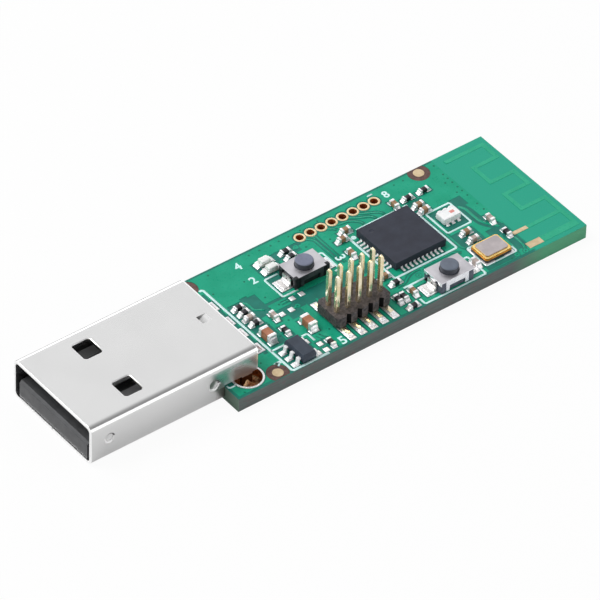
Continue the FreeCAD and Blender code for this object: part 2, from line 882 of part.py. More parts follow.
def make_regulator_leads():
    x, y = regulator_centre()
    return [make_regulator_lead(x, y + along, side) for side, along in regulator_lead_places()]


def rectangle(x, y, z, length, width):
    corners = [Vector(x - length / 2, y - width / 2, z), Vector(x + length / 2, y - width / 2, z),
               Vector(x + length / 2, y + width / 2, z), Vector(x - length / 2, y + width / 2, z)]
    return Part.makePolygon(corners + corners[:1])


def make_regulator_body():
    """Moulded body, widest at the lead frame and tapering above and below it."""
    x, y = regulator_centre()
    bottom = board_top + regulator_lift
    waist = board_top + regulator_lead_height
    top = bottom + regulator_height
    small = (regulator_width - 2 * regulator_taper, regulator_length - 2 * regulator_taper)
    full = (regulator_width, regulator_length)
    lower = Part.makeLoft([rectangle(x, y, bottom, *small), rectangle(x, y, waist - regulator_lead_sheet, *full)],
                          True)
    middle = centred_block(x, y, waist - regulator_lead_sheet, full[0], full[1], regulator_lead_sheet)
    upper = Part.makeLoft([rectangle(x, y, waist, *full), rectangle(x, y, top, *small)], True)
    return fuse_all([lower, middle, upper])


# Indicator lamps

def lamp_places():
    x = from_front(lamp_x)
    y = far_edge - lamp_from_edge
    return {"upper": (x, y), "lower": (x, y - lamp_pitch)}


def make_lamp_base(x, y):
    return centred_block(x, y, pad_top, lamp_length, lamp_width, lamp_base_height)


def make_lamp_lens(x, y):
    bottom = pad_top + lamp_base_height
    foot = rectangle(x, y, bottom, lamp_lens_length, lamp_width)
    head = rectangle(x, y, bottom + lamp_lens_height, lamp_lens_length - 2 * lamp_lens_taper,
                     lamp_width - 2 * lamp_lens_taper)
    return Part.makeLoft([foot, head], True)


# Aerial filter block

def filter_centre():
    return from_front(filter_x), across(filter_y)


def filter_terminal_places():
    x, _ = filter_centre()
    places = []
    for side in (-1, 1):
        for index in (-1, 0, 1):
            places.append((x + index * filter_terminal_pitch, side))
    return places


def make_filter_body():
    x, y = filter_centre()
    return centred_block(x, y, pad_top, filter_length, filter_width, filter_height)


def make_filter_terminals():
    """Metal clips that run up each long side and a little way over the top."""
    clips = []
    for x, side in filter_terminal_places():
        wall = side * filter_width / 2
        sheet = side * filter_terminal_sheet
        wrap = side * filter_terminal_wrap
        top = pad_top + filter_height
        outline = [
            Vector(0, wall, pad_top),
            Vector(0, wall + sheet, pad_top),
            Vector(0, wall + sheet, top + filter_terminal_sheet),
            Vector(0, wall - wrap, top + filter_terminal_sheet),
            Vector(0, wall - wrap, top),
            Vector(0, wall, top),
        ]
        origin = Vector(x - filter_terminal_width / 2, filter_centre()[1], 0)
        clips.append(extrude_profile(outline, origin, Vector(filter_terminal_width, 0, 0)))
    return clips


# Printed aerial: a copper trace folded back and forth across the end of the board

def make_antenna_trace():
    start = from_front(aerial_start)
    inner = from_front(aerial_inner_turn)
    outer = from_front(aerial_outer_turn)
    half = aerial_width / 2
    turns = [across(place) for place in aerial_turn_places]
    strips = []

    def run_across(x_low, x_high, y, width):
        strips.append(block(x_low, x_high, y - width / 2, y + width / 2, board_top, pad_top))

    def run_along(x, y_low, y_high):
        strips.append(block(x - half, x + half, y_low - half, y_high + half, board_top, pad_top))

    run_across(start, outer + half, across(aerial_feed_y), aerial_width)
    run_across(start, outer + half, across(aerial_short_y), aerial_short_width)
    run_along(outer, across(aerial_short_y), turns[0])
    for index, y in enumerate(turns[:-1]):
        run_across(inner - half, outer + half, y, aerial_width)
        run_along(outer if index % 2 else inner, y, turns[index + 1])
    run_across(from_front(aerial_last_start), outer + half, turns[-1], aerial_width)
    return fuse_all(strips)


# Chip capacitors and resistors

def make_chip_part(size, x, y, direction):
    """Ceramic block with a slightly larger metal cap on each end."""
    length, width, height, cap = size
    middle = centred_block(0, 0, pad_top, length - 2 * end_cap_proud, width - 2 * end_cap_proud,
                           height - end_cap_proud)
    caps = [centred_block(side * (length - cap) / 2, 0, pad_top, cap, width, height) for side in (-1, 1)]
    part = fuse_all([middle] + caps)
    if direction == "y":
        part.rotate(Vector(0, 0, 0), Vector(0, 0, 1), 90)
    part.translate(Vector(x, y, 0))
    return part


def chip_part_pads(size, x, y, direction):
    length = size[0]
    side = large_pad if size is large_capacitor else small_pad
    reach = length / 2
    if direction == "x":
        return [(x - reach, y, small_pad, side), (x + reach, y, small_pad, side)]
    return [(x, y - reach, side, small_pad), (x, y + reach, side, small_pad)]


# Solder pads on the board's top face, each under the terminal that it takes

def pad_places():
    pads = []
    for size, distance, place, direction in capacitor_places.values():
        pads += chip_part_pads(size, from_front(distance), across(place), direction)
    for group in resistor_groups.values():
        for distance, place, direction in group:
            pads += chip_part_pads(small_resistor, from_front(distance), across(place), direction)
    for distance, place in empty_pad_places:
        pads.append((from_front(distance), across(place), small_pad, small_pad))
    for x, y in lamp_places().values():
        for side in (-1, 1):
            pads.append((x + side * lamp_length / 2, y, small_pad, lamp_width))
    for x, y, out_x, out_y in chip_rows():
        middle = chip_pad_outward - chip_pad_length / 2
        length = chip_pad_length if out_x else chip_terminal_width
        width = chip_pad_length if out_y else chip_terminal_width
        pads.append((x + out_x * middle, y + out_y * middle, length, width))
    x, y = chip_centre()
    pads.append((x, y, chip_heat_pad, chip_heat_pad))
    x, y = crystal_centre()
    for side_x in (-1, 1):
        for side_y in (-1, 1):
            pads.append((x + side_x * (crystal_length / 2 + crystal_pad_overhang - crystal_pad_length / 2),
                         y + side_y * (crystal_width / 2 + crystal_pad_overhang - crystal_pad_width / 2),
                         crystal_pad_length, crystal_pad_width))
    for x, y in switch_places().values():
        for side in (-1, 1):
            reach = switch_length / 2 + switch_pad_length / 2
            pads.append((x + side * reach, y, switch_pad_length, switch_pad_width))
    for index in range(header_columns):
        for side in (-1, 1):
            reach = tail_reach + header_pad_overhang - header_pad_length / 2
            pads.append((header_pin_x(index), header_row_y(side) + side * reach,
                         header_pad_width, header_pad_length))
    x, y = regulator_centre()
    for side, along in regulator_lead_places():
        reach = regulator_width / 2 + regulator_lead_reach - regulator_foot / 2
        pads.append((x + side * reach, y + along, regulator_pad_length, regulator_pad_width))
    for x, side in filter_terminal_places():
        reach = filter_width / 2 + filter_terminal_sheet
        pads.append((x, filter_centre()[1] + side * reach, filter_terminal_width, filter_pad_length))
    for y in contact_places:
        pads.append((shell_rear + contact_tail_end / 2 + small_pad / 2, y,
                     contact_tail_end + small_pad, contact_width + small_pad / 2))
    return pads


def make_solder_pads():
    return [centred_block(x, y, board_top, length, width, pad_thickness) for x, y, length, width in pad_places()]


def build_nodes():
    nodes = {"board": make_board()}
    nodes["header_hole_barrels"] = Part.makeCompound(make_header_hole_barrels())
    nodes["leg_hole_barrels"] = Part.makeCompound(make_leg_hole_barrels())
    nodes["solder_pads"] = Part.makeCompound(make_solder_pads())
    nodes["antenna_trace"] = make_antenna_trace()
    nodes["usb_shell"] = make_usb_shell()
    contacts = [make_usb_contact(index) for index in range(len(contact_names))]
    nodes["usb_tongue"] = make_usb_tongue(contacts)
    for name, contact in zip(contact_names, contacts):
        nodes["usb_contact_" + name] = contact
    terminals = make_chip_terminals()
    nodes["radio_chip"] = make_radio_chip(terminals)
    nodes["radio_chip_terminals"] = Part.makeCompound(terminals)
    nodes["crystal_base"] = make_crystal_base()
    nodes["crystal_seal_ring"] = make_crystal_seal_ring()
    nodes["crystal_lid"] = make_crystal_lid()
    for name, (x, y) in switch_places().items():
        nodes.update(switch_nodes(name, x, y))
    near_pins = make_header_pins(-1)
    far_pins = make_header_pins(1)
    nodes["header_body"] = make_header_body(near_pins + far_pins)
    nodes["header_pins_near"] = Part.makeCompound(near_pins)
    nodes["header_pins_far"] = Part.makeCompound(far_pins)
    nodes["regulator_body"] = make_regulator_body()
    nodes["regulator_leads"] = Part.makeCompound(make_regulator_leads())
    for name, (x, y) in lamp_places().items():
        nodes[name + "_lamp_base"] = make_lamp_base(x, y)
        nodes[name + "_lamp_lens"] = make_lamp_lens(x, y)
    nodes["filter_body"] = make_filter_body()
    nodes["filter_terminals"] = Part.makeCompound(make_filter_terminals())
    for name, (size, distance, place, direction) in capacitor_places.items():
        nodes[name] = make_chip_part(size, from_front(distance), across(place), direction)
    for name, group in resistor_groups.items():
        parts = [make_chip_part(small_resistor, from_front(distance), across(place), direction)
                 for distance, place, direction in group]
        nodes[name] = Part.makeCompound(parts)
    return nodes


def main():
    os.makedirs("parts", exist_ok=True)
    for name, shape in build_nodes().items():
        shape.exportStep("parts/" + name + ".step")


main()
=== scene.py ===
# %% [markdown]
# # A smart home USB radio stick
#
# The stick is a bare circuit board with a full-size USB plug at one end and an aerial printed at the other.
# The CAD model gives every solid its place and size. This lesson dresses it: it rounds the edges that are
# moulded, pressed or soldered on the real thing, lays the copper, the mask and the white print on the board,
# and gives each surface a material that is worked out from what it is made of.

# %% Load the frame
import math

import bmesh
import bpy
from mathutils import Matrix, Vector


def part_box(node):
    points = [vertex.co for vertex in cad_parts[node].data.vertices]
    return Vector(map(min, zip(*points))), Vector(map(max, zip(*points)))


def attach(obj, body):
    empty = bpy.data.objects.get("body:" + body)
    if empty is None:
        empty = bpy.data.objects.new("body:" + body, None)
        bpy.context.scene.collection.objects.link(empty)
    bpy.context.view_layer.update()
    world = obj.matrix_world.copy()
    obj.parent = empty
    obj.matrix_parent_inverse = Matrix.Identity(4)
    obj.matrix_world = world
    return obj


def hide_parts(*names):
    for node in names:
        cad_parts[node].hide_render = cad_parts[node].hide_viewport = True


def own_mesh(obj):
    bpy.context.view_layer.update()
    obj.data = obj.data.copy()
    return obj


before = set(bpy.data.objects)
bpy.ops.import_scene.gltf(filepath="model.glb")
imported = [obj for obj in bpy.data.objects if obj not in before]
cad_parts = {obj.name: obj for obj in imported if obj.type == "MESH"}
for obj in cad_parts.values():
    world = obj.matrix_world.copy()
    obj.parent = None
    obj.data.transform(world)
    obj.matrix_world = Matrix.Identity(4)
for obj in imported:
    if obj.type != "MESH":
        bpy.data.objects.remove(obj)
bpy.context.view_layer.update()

mm = 0.001

# %% [markdown]
# Every place on the board is easiest to read as a distance from the plug's tip and a distance across,
# in millimetres. A few levels are read once from the CAD nodes, so that the details follow the solids.

# %% Places
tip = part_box("usb_shell")[0].x
board_low, board_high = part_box("board")
board_top = board_high.z
pad_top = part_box("solder_pads")[1].z
copper_step = 0.025 * mm
# A bisect snaps corners that are nearer to its plane than this, so it is made very small
snap = 0.0001 * mm


def spot(from_tip, across, level=board_top):
    return Vector((tip + from_tip * mm, across * mm, level))


print("board top at", round(board_top / mm, 3), "mm, pads up to", round(pad_top / mm, 3), "mm")

# %% [markdown]
# ## Tools for modelling
#
# Blender's operators act on all that is selected, so each step first picks one piece and nothing else.
# Faces and edges are then chosen in code by where they are or which way they look.

# %% Picking pieces and faces


def pick(piece):
    """Selects one piece alone and makes it the active one."""
    bpy.ops.object.select_all(action="DESELECT")
    piece.select_set(True)
    bpy.context.view_layer.objects.active = piece


def choose(piece, kind, test):
    """In edit mode, selects only the faces, edges or verts that pass the test."""
    bpy.ops.mesh.select_mode(type={"faces": "FACE", "edges": "EDGE", "verts": "VERT"}[kind])
    bpy.ops.mesh.select_all(action="DESELECT")
    mesh = bmesh.from_edit_mesh(piece.data)
    for part in getattr(mesh, kind):
        if test(part):
            part.select_set(True)
    bmesh.update_edit_mesh(piece.data)


def start_block(name, low, high):
    """A block between two corners, ready to be shaped."""
    low, high = Vector(low), Vector(high)
    bpy.ops.object.select_all(action="DESELECT")
    bpy.ops.mesh.primitive_cube_add(size=1, location=(low + high) / 2, scale=high - low)
    piece = bpy.context.view_layer.objects.active
    piece.name = name
    bpy.ops.object.transform_apply(location=True, rotation=True, scale=True)
    return piece


def apply_modifier(piece, kind, **settings):
    """Adds one modifier with its settings and applies it."""
    pick(piece)
    modifier = piece.modifiers.new(kind.lower(), kind)
    for name, value in settings.items():
        setattr(modifier, name, value)
    bpy.ops.object.modifier_apply(modifier=modifier.name)


def round_edges(piece, width, segments=2, angle=30.0, smooth=35.0):
    """Rounds every edge sharper than an angle, then shades the rounds smooth and keeps the flats flat."""
    apply_modifier(piece, "BEVEL", width=width * mm, segments=segments, limit_method="ANGLE",
                   angle_limit=math.radians(angle), harden_normals=False)
    pick(piece)
    bpy.ops.object.shade_smooth_by_angle(angle=math.radians(smooth))
    apply_modifier(piece, "WEIGHTED_NORMAL", keep_sharp=True)


def join(pieces, name):
    """Makes several pieces one."""
    bpy.ops.object.select_all(action="DESELECT")
    for piece in pieces:
        piece.select_set(True)
    bpy.context.view_layer.objects.active = pieces[0]
    if len(pieces) > 1:
        bpy.ops.object.join()
    pieces[0].name = name
    return pieces[0]


print("modelling tools ready")

# %% [markdown]
# A CAD node is loose triangles and stays as it is. Where its shape is right but its edges are too sharp,
# a copy is merged, its flat areas are made single faces again, and the copy is rounded and takes its place.

# %% Copies of CAD nodes


def merged_copy(node, name):
    """A clean mesh with the shape of a CAD node."""
    piece = bpy.data.objects.new(name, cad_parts[node].data.copy())
    bpy.context.scene.collection.objects.link(piece)
    piece.data.materials.clear()
    for layer in list(piece.data.attributes):
        if layer.name in ("custom_normal", "sharp_edge", "sharp_face"):
            piece.data.attributes.remove(layer)
    pick(piece)
    bpy.ops.object.mode_set(mode="EDIT")
    bpy.ops.mesh.select_all(action="SELECT")
    bpy.ops.mesh.remove_doubles(threshold=0.002 * mm)
    bpy.ops.mesh.dissolve_limited(angle_limit=math.radians(1.0))
    bpy.ops.object.mode_set(mode="OBJECT")
    return piece


def solid_boxes(node):
    """Lowest and highest corner of every separate solid in a CAD node."""
    mesh = bmesh.new()
    mesh.from_mesh(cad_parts[node].data)
    bmesh.ops.remove_doubles(mesh, verts=mesh.verts, dist=0.002 * mm)
    waiting = set(mesh.verts)
    boxes = []
    while waiting:
        front = [waiting.pop()]
        points = []
        while front:
            vert = front.pop()
            points.append(vert.co.copy())
            for edge in vert.link_edges:
                other = edge.other_vert(vert)
                if other in waiting:
                    waiting.remove(other)
                    front.append(other)
        low = Vector([min(point[axis] for point in points) for axis in range(3)])
        high = Vector([max(point[axis] for point in points) for axis in range(3)])
        boxes.append((low, high))
    mesh.free()
    return sorted(boxes, key=lambda box: (round(box[0].x, 6), round(box[0].y, 6)))


def settle(piece, finishes, replaced=(), body="stick"):
    """Gives a piece its finish and its body, and hides the CAD nodes that it stands for."""
    if finishes and not piece.data.materials:
        for finish_material in finishes:
            piece.data.materials.append(finish_material)
    if replaced:
        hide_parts(*replaced)
    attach(piece, body)
    triangles = sum(len(face.vertices) - 2 for face in piece.data.polygons)
    print(f"{piece.name}: {triangles} triangles on {body}")
    return piece


def dress(node, material):
    """Gives a CAD node that stays a better material."""
    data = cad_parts[node].data
    if data.materials:
        for index in range(len(data.materials)):
            data.materials[index] = material
    else:
        data.materials.append(material)


print("pads in the solder_pads node:", len(solid_boxes("solder_pads")))

# %% [markdown]
# Parts that repeat are modelled once at the origin, then stamped: each copy has its own mesh, with its
# place and its turn in the mesh.

# %% Stamping copies


def stamp(model, name, places):
    """Copies of a model at each (place, turn about Z), joined as one piece."""
    copies = []
    for place, turn in places:
        copy = bpy.data.objects.new(name, model.data.copy())
        bpy.context.scene.collection.objects.link(copy)
        copy.data.transform(Matrix.Translation(place) @ Matrix.Rotation(turn, 4, "Z"))
        copies.append(copy)
    return join(copies, name)


def discard(*pieces):
    """Removes models and cutters that have done their work."""
    for piece in pieces:
        bpy.data.objects.remove(piece)


def turned(name, section, sides, hollow=False):
    """A piece turned about Z: a circle is extruded from point to point of its section (radius, height in mm)."""
    bpy.ops.object.select_all(action="DESELECT")
    radius, height = section[0]
    bpy.ops.mesh.primitive_circle_add(vertices=sides, radius=radius * mm, location=(0, 0, height * mm))
    piece = bpy.context.view_layer.objects.active
    piece.name = name
    bpy.ops.object.transform_apply(location=True, rotation=True, scale=True)
    bpy.ops.object.mode_set(mode="EDIT")
    bpy.ops.mesh.select_all(action="SELECT")
    if not hollow:
        bpy.ops.mesh.edge_face_add()
    steps = section[1:] + (section[:1] if hollow else [])
    for next_radius, next_height in steps:
        bpy.ops.mesh.extrude_region_move(TRANSFORM_OT_translate={"value": (0, 0, (next_height - height) * mm)})
        growth = next_radius / radius
        bpy.ops.transform.resize(value=(growth, growth, 1), center_override=(0, 0, next_height * mm))
        radius, height = next_radius, next_height
    bpy.ops.mesh.select_all(action="SELECT")
    bpy.ops.mesh.remove_doubles(threshold=0.001 * mm)
    bpy.ops.mesh.normals_make_consistent(inside=False)
    bpy.ops.object.mode_set(mode="OBJECT")
    return piece


print("stamping tools ready")

# %% [markdown]
# Print and tracks are lines of one width with bends. A flat rectangle is run along a path of short straight
# runs and the result is made a mesh. Two points close to each bend keep the width even up to the bend.

# %% Lines on the board


def line_on_board(name, points, width, low, high, closed=False):
    """A flat line through points (from the tip, across, in mm) between two levels in metres."""
    route = [spot(*point, (low + high) / 2) for point in points]
    if closed:
        middle = (route[0] + route[1]) / 2
        route = [middle] + route[1:] + [route[0], middle]
    path = [route[0]]
    for before, here, after in zip(route, route[1:], route[2:]):
        for other in (before, after):
            run = other - here
            path.append(here + run.normalized() * min(width * mm / 2, run.length / 3))
    path.append(route[-1])
    curve = bpy.data.curves.new(name, "CURVE")
    curve.dimensions = "3D"
    curve.twist_mode = "Z_UP"
    section = bpy.data.curves.new(name + "_section", "CURVE")
    section.dimensions = "2D"
    half_width, half_height = width * mm / 2, (high - low) / 2
    corners = [(-half_width, -half_height), (half_width, -half_height), (half_width, half_height),
               (-half_width, half_height)]
    for data, places, cyclic in ((section, [Vector((x, y, 0)) for x, y in corners], True),
                                 (curve, path, False)):
        spline = data.splines.new("POLY")
        spline.points.add(len(places) - 1)
        for point, place in zip(spline.points, places):
            point.co = (*place, 1)
        spline.use_cyclic_u = cyclic
    section_object = bpy.data.objects.new(name + "_section", section)
    piece = bpy.data.objects.new(name, curve)
    for item in (section_object, piece):
        bpy.context.scene.collection.objects.link(item)
    curve.bevel_mode = "OBJECT"
    curve.bevel_object = section_object
    curve.use_fill_caps = True
    pick(piece)
    bpy.ops.object.convert(target="MESH")
    piece = bpy.context.view_layer.objects.active
    bpy.ops.object.mode_set(mode="EDIT")
    bpy.ops.mesh.select_all(action="SELECT")
    bpy.ops.mesh.remove_doubles(threshold=0.002 * mm)
    bpy.ops.mesh.normals_make_consistent(inside=False)
    bpy.ops.object.mode_set(mode="OBJECT")
    discard(section_object)
    return piece


print("line tool ready")

# %% [markdown]
# ## Tools for materials
#
# Colours are written as sRGB hex values, as a paint chart gives them, and one function turns them linear.
# One small function adds a node: a value goes to its socket, and a socket is linked.

# %% Colours and nodes
mix_factor, mix_a, mix_b, mix_result = 0, 6, 7, 2


def colour(code):
    """An sRGB hex value as linear red, green, blue and alpha."""
    channels = []
    for start in (1, 3, 5):
        value = int(code[start:start + 2], 16) / 255
        channels.append(value / 12.92 if value <= 0.04045 else ((value + 0.055) / 1.055) ** 2.4)
    return (*channels, 1.0)


def add_node(tree, kind, sockets=None, **properties):
    """One node with its properties, its socket values and its links."""
    node = tree.nodes.new(kind)
    for name, value in properties.items():
        setattr(node, name, value)
    for name, value in (sockets or {}).items():
        if isinstance(value, bpy.types.NodeSocket):
            tree.links.new(value, node.inputs[name])
        else:
            node.inputs[name].default_value = value
    return node


print("mid grey #808080 is", round(colour("#808080")[0], 3), "in linear light")

# %% [markdown]
# Most surfaces here differ in three ways: their colour drifts a little over some distance, their gloss
# varies, and a fine grain roughens them. One function builds that from real sizes in millimetres. Its
# patches are wider than the real ones on the smallest parts, so that they still show at this distance.

# %% A finish from real sizes


def finish(name, light, dark, patch, gloss, grain, relief, **shader_sockets):
    """A material whose colour drifts over patches, with its gloss range and the size and depth of its grain."""
    material = bpy.data.materials.new(name)
    material.use_nodes = True
    tree = material.node_tree
    shader = tree.nodes["Principled BSDF"]
    where = add_node(tree, "ShaderNodeTexCoord").outputs["Object"]
    drift = add_node(tree, "ShaderNodeTexNoise", {"Vector": where, "Scale": 1 / (patch * mm), "Detail": 3.0})
    spread = add_node(tree, "ShaderNodeMapRange",
                      {"Value": drift.outputs["Fac"], "From Min": 0.35, "From Max": 0.65})
    blend = add_node(tree, "ShaderNodeMix", {mix_factor: spread.outputs["Result"], mix_a: colour(dark),
                                             mix_b: colour(light)}, data_type="RGBA")
    texture = add_node(tree, "ShaderNodeTexNoise", {"Vector": where, "Scale": 1 / (grain * mm), "Detail": 2.0})
    roughness = add_node(tree, "ShaderNodeMapRange",
                         {"Value": texture.outputs["Fac"], "From Min": 0.3, "From Max": 0.7,
                          "To Min": gloss[0], "To Max": gloss[1]})
    bump = add_node(tree, "ShaderNodeBump", {"Height": texture.outputs["Fac"], "Distance": relief * mm})
    tree.links.new(blend.outputs[mix_result], shader.inputs["Base Color"])
    tree.links.new(roughness.outputs["Result"], shader.inputs["Roughness"])
    tree.links.new(bump.outputs["Normal"], shader.inputs["Normal"])
    for socket, value in shader_sockets.items():
        shader.inputs[socket.replace("_", " ")].default_value = value
    return material


def feed(material, socket):
    """The socket that feeds one of a material's shader inputs."""
    return material.node_tree.nodes["Principled BSDF"].inputs[socket].links[0].from_socket


def fade_along(material, start, end, code):
    """Fades a finish to another colour along the stick, from one x to another."""
    tree = material.node_tree
    where = add_node(tree, "ShaderNodeTexCoord").outputs["Object"]
    along = add_node(tree, "ShaderNodeSeparateXYZ", {"Vector": where}).outputs["X"]
    share = add_node(tree, "ShaderNodeMapRange", {"Value": along, "From Min": start, "From Max": end})
    faded = add_node(tree, "ShaderNodeMix", {mix_factor: share.outputs["Result"], mix_a: feed(material, "Base Color"),
                                             mix_b: colour(code)}, data_type="RGBA")
    tree.links.new(faded.outputs[mix_result], tree.nodes["Principled BSDF"].inputs["Base Color"])


print("finish tools ready")

# %% [markdown]
# ## The plug's shell
#
# The shell is one strip of nickel-plated steel, stamped, folded round and closed by a seam underneath.
# The CAD solid has the windows, dimples, flap and seam, so a merged copy only needs the small rounds that
# pressing leaves on every cut edge. Nickel is a pale warm grey metal, and tumbling leaves it satin.

# %% Nickel-plated steel
# Satin metal with a faint drift in gloss: the eye sees broad soft reflections and bright pressed edges.
shell_nickel = finish("nickel plated steel, tumbled", "#DDDDDD", "#DADADA", 5.0, (0.2, 0.23), 0.06, 0.0003,
                      Metallic=1.0)


def paint_shell_light_and_flux(material, front_end, rear_start):
    """Painted highlight on the sheared rims, painted shade along the far bend, and flux on the legs and low on the
    walls beside them.
    """
    tree = material.node_tree
    shader = tree.nodes["Principled BSDF"]
    where = add_node(tree, "ShaderNodeTexCoord").outputs["Object"]
    axes = add_node(tree, "ShaderNodeSeparateXYZ", {"Vector": where})
    x, y, z = (axes.outputs[name] for name in "XYZ")

    def ramp(value, start, end):
        return add_node(tree, "ShaderNodeMapRange", {"Value": value, "From Min": start, "From Max": end}).outputs[0]

    def both(first, second, operation="MULTIPLY"):
        return add_node(tree, "ShaderNodeMath", {0: first, 1: second}, operation=operation).outputs[0]

    def over(share, below, code):
        return add_node(tree, "ShaderNodeMix", {mix_factor: share, mix_a: below, mix_b: colour(code)},
                        data_type="RGBA").outputs[mix_result]

    # The rims at the front and rear ends are painted white: a painted highlight.
    rim = both(ramp(x, front_end + 0.001 * mm, front_end), ramp(x, rear_start, rear_start + 0.001 * mm), "MAXIMUM")
    # A band on the far bend, just below the roof, is painted dark grey: painted shade for a dark reflected line.
    bend = both(ramp(z, roof - 0.42 * mm, roof - 0.3 * mm), ramp(z, roof - 0.06 * mm, roof - 0.14 * mm))
    bend = both(bend, ramp(y, 0.0, 0.1 * mm))
    beside = ramp(x, board_low.x - 1.2 * mm, board_low.x + 0.3 * mm)
    soldered = both(beside, ramp(z, board_top + 0.2 * mm, board_top + 0.1 * mm))
    haze = both(beside, ramp(z, board_top + 2.0 * mm, board_top))
    steel = over(rim, over(bend, feed(material, "Base Color"), "#6E6E6E"), "#FFFFFF")
    gloss = add_node(tree, "ShaderNodeMix", {mix_factor: haze, 2: feed(material, "Roughness"), 3: 0.48})
    tree.links.new(over(soldered, steel, "#553824"), shader.inputs["Base Color"])
    tree.links.new(gloss.outputs[0], shader.inputs["Roughness"])


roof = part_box("usb_shell")[1].z
shell_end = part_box("usb_shell")[1].x
paint_shell_light_and_flux(shell_nickel, tip + 0.07 * mm, shell_end - 0.13 * mm)
# Painted shade on the nickel of the pocket and the dimples' upper walls: dark grey, darkest at the pocket's deep front
# end.
painted_shade_nickel = finish("nickel plated steel, painted shade", "#7C7C7C", "#6E6E6E", 1.0, (0.3, 0.4), 0.06, 0.001,
                        Metallic=1.0)
fade_along(painted_shade_nickel, spot(16.98, 0).x, spot(17.65, 0).x, "#DDDDDD")
# Painted highlight for the dimples' walls that lean upward: nearly white.
painted_highlight_nickel = finish("nickel plated steel, painted highlight", "#FFFFFF", "#F6F6F6", 1.0, (0.3, 0.4), 0.06, 0.0005,
                          Metallic=0.45)

# %% [markdown]
# The small mark behind the windows is a pocket pressed into the roof: deep at its front end, and rising
# until it is level with the roof. In the CAD solid it is a flap with slits round it. The photographed one
# shows no slits, so the roof is closed there with a plate, and a wedge cuts the pocket out of it.

# %% Pressed pocket
shell = merged_copy("usb_shell", "plug_shell")
plates = [((16.6, -0.85), (18.3, 0.85), 0.3, 0.0), ((16.65, -0.66), (17.88, 0.69), 0.5, 0.25)]
for near_corner, far_corner, depth, top in plates:
    plate = start_block("roof_plate", spot(*near_corner, roof - depth * mm), spot(*far_corner, roof - top * mm))
    apply_modifier(shell, "BOOLEAN", operation="UNION", object=plate, solver="EXACT")
    discard(plate)
wedge = start_block("pocket_wedge", spot(16.86, -0.42, roof - 0.38 * mm), spot(17.92, 0.65, roof + 0.2 * mm))
pick(wedge)
bpy.ops.object.mode_set(mode="EDIT")
choose(wedge, "verts", lambda vert: vert.co.x > spot(17.5, 0).x and vert.co.z < roof)
bpy.ops.transform.translate(value=(0, 0, 0.38 * mm))
bpy.ops.object.mode_set(mode="OBJECT")
apply_modifier(shell, "BOOLEAN", operation="DIFFERENCE", object=wedge, solver="EXACT")
discard(wedge)
pocket_low, pocket_high = spot(16.84, -0.44, roof - 0.45 * mm), spot(17.94, 0.67, roof - 0.004 * mm)
shell.data.materials.append(shell_nickel)
shell.data.materials.append(painted_shade_nickel)
# The pocket's floor and walls take the painted shade.
for face in shell.data.polygons:
    inside = all(pocket_low[axis] < face.center[axis] < pocket_high[axis] for axis in range(3))
    face.material_index = 1 if inside and face.normal.z > -0.5 else 0
print("shell with its pocket:", len(shell.data.polygons), "faces")

# %% Shell with pressed edges
# The punch pulls the roof down a little round each window, so these edges are rounder than the rest.
pick(shell)
bpy.ops.object.mode_set(mode="EDIT")
bpy.ops.mesh.select_all(action="SELECT")
bpy.ops.mesh.remove_doubles(threshold=0.002 * mm)
bpy.ops.mesh.dissolve_limited(angle_limit=math.radians(1.0))
window_from, window_to = spot(5.0, 0).x, spot(7.5, 0).x


def round_window(edge):
    ends = [vert.co for vert in edge.verts]
    on_roof = all(abs(end.z - roof) < 0.01 * mm for end in ends)
    return on_roof and all(window_from < end.x < window_to and abs(end.y) < 4.6 * mm for end in ends)


choose(shell, "edges", round_window)
bpy.ops.mesh.bevel(offset=0.09 * mm, segments=3, affect="EDGES", clamp_overlap=True)
# A cut along the roof beside each bend lets the bend's shading start a little before the bend itself.
for edge in (-4.95, 4.95):
    bpy.ops.mesh.select_all(action="SELECT")
    bpy.ops.mesh.bisect(plane_co=(0, edge * mm, 0), plane_no=(0, 1, 0), threshold=snap)
# The dimples' floors are widened, so that their walls are as steep as in the photograph.
side_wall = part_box("usb_shell")[1].y
dimple_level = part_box("usb_shell")[0].z + 2.4 * mm
for centre_x, radius in ((spot(2.1, 0).x, 0.58), (spot(14.0, 0).x, 0.65)):
    choose(shell, "verts", lambda vert: abs(abs(vert.co.y) - side_wall + 0.15 * mm) < 0.03 * mm
           and math.hypot(vert.co.x - centre_x, vert.co.z - dimple_level) < radius * mm)
    bpy.ops.transform.resize(value=(1.5, 1, 1.5), center_override=(centre_x, 0, dimple_level))
bpy.ops.object.mode_set(mode="OBJECT")
# The lower front part of each dimple's wall gets a painted highlight, and the upper part painted shade.
shell.data.materials.append(painted_highlight_nickel)
for face in shell.data.polygons:
    low_enough = side_wall - 0.149 * mm < abs(face.center.y) < side_wall - 0.001 * mm
    if low_enough and abs(face.normal.y) < 0.95 and any(
            math.hypot(face.center.x - centre_x, face.center.z - dimple_level) < 0.7 * mm
            for centre_x in (spot(2.1, 0).x, spot(14.0, 0).x)):
        lean = face.normal.z + 0.8 * face.normal.x
        face.material_index = 2 if lean > 0.15 else 1 if lean < -0.3 and face.normal.z < 0 else 0
round_edges(shell, 0.035, segments=2, angle=40.0, smooth=40.0)
settle(shell, [shell_nickel], ["usb_shell"])

# %% [markdown]
# Inside the shell sit a black moulded insert with its tongue and four gold-plated spring strips. They show
# through the mouth and the windows, and their tails come out behind the plug on their pads.

# %% Insert and contacts
# Glass-filled polymer: black, slightly glossy, with the fine mottle that the fibres leave at the surface.
connector_plastic = finish("black liquid crystal polymer, moulded", "#4E4F51", "#444547", 0.8, (0.38, 0.5), 0.09,
                           0.002)
# Deep inside it is painted pale, as painted light, so the windows aren't quite black.
fade_along(connector_plastic, spot(3.0, 0).x, spot(5.5, 0).x, "#D4D4D6")
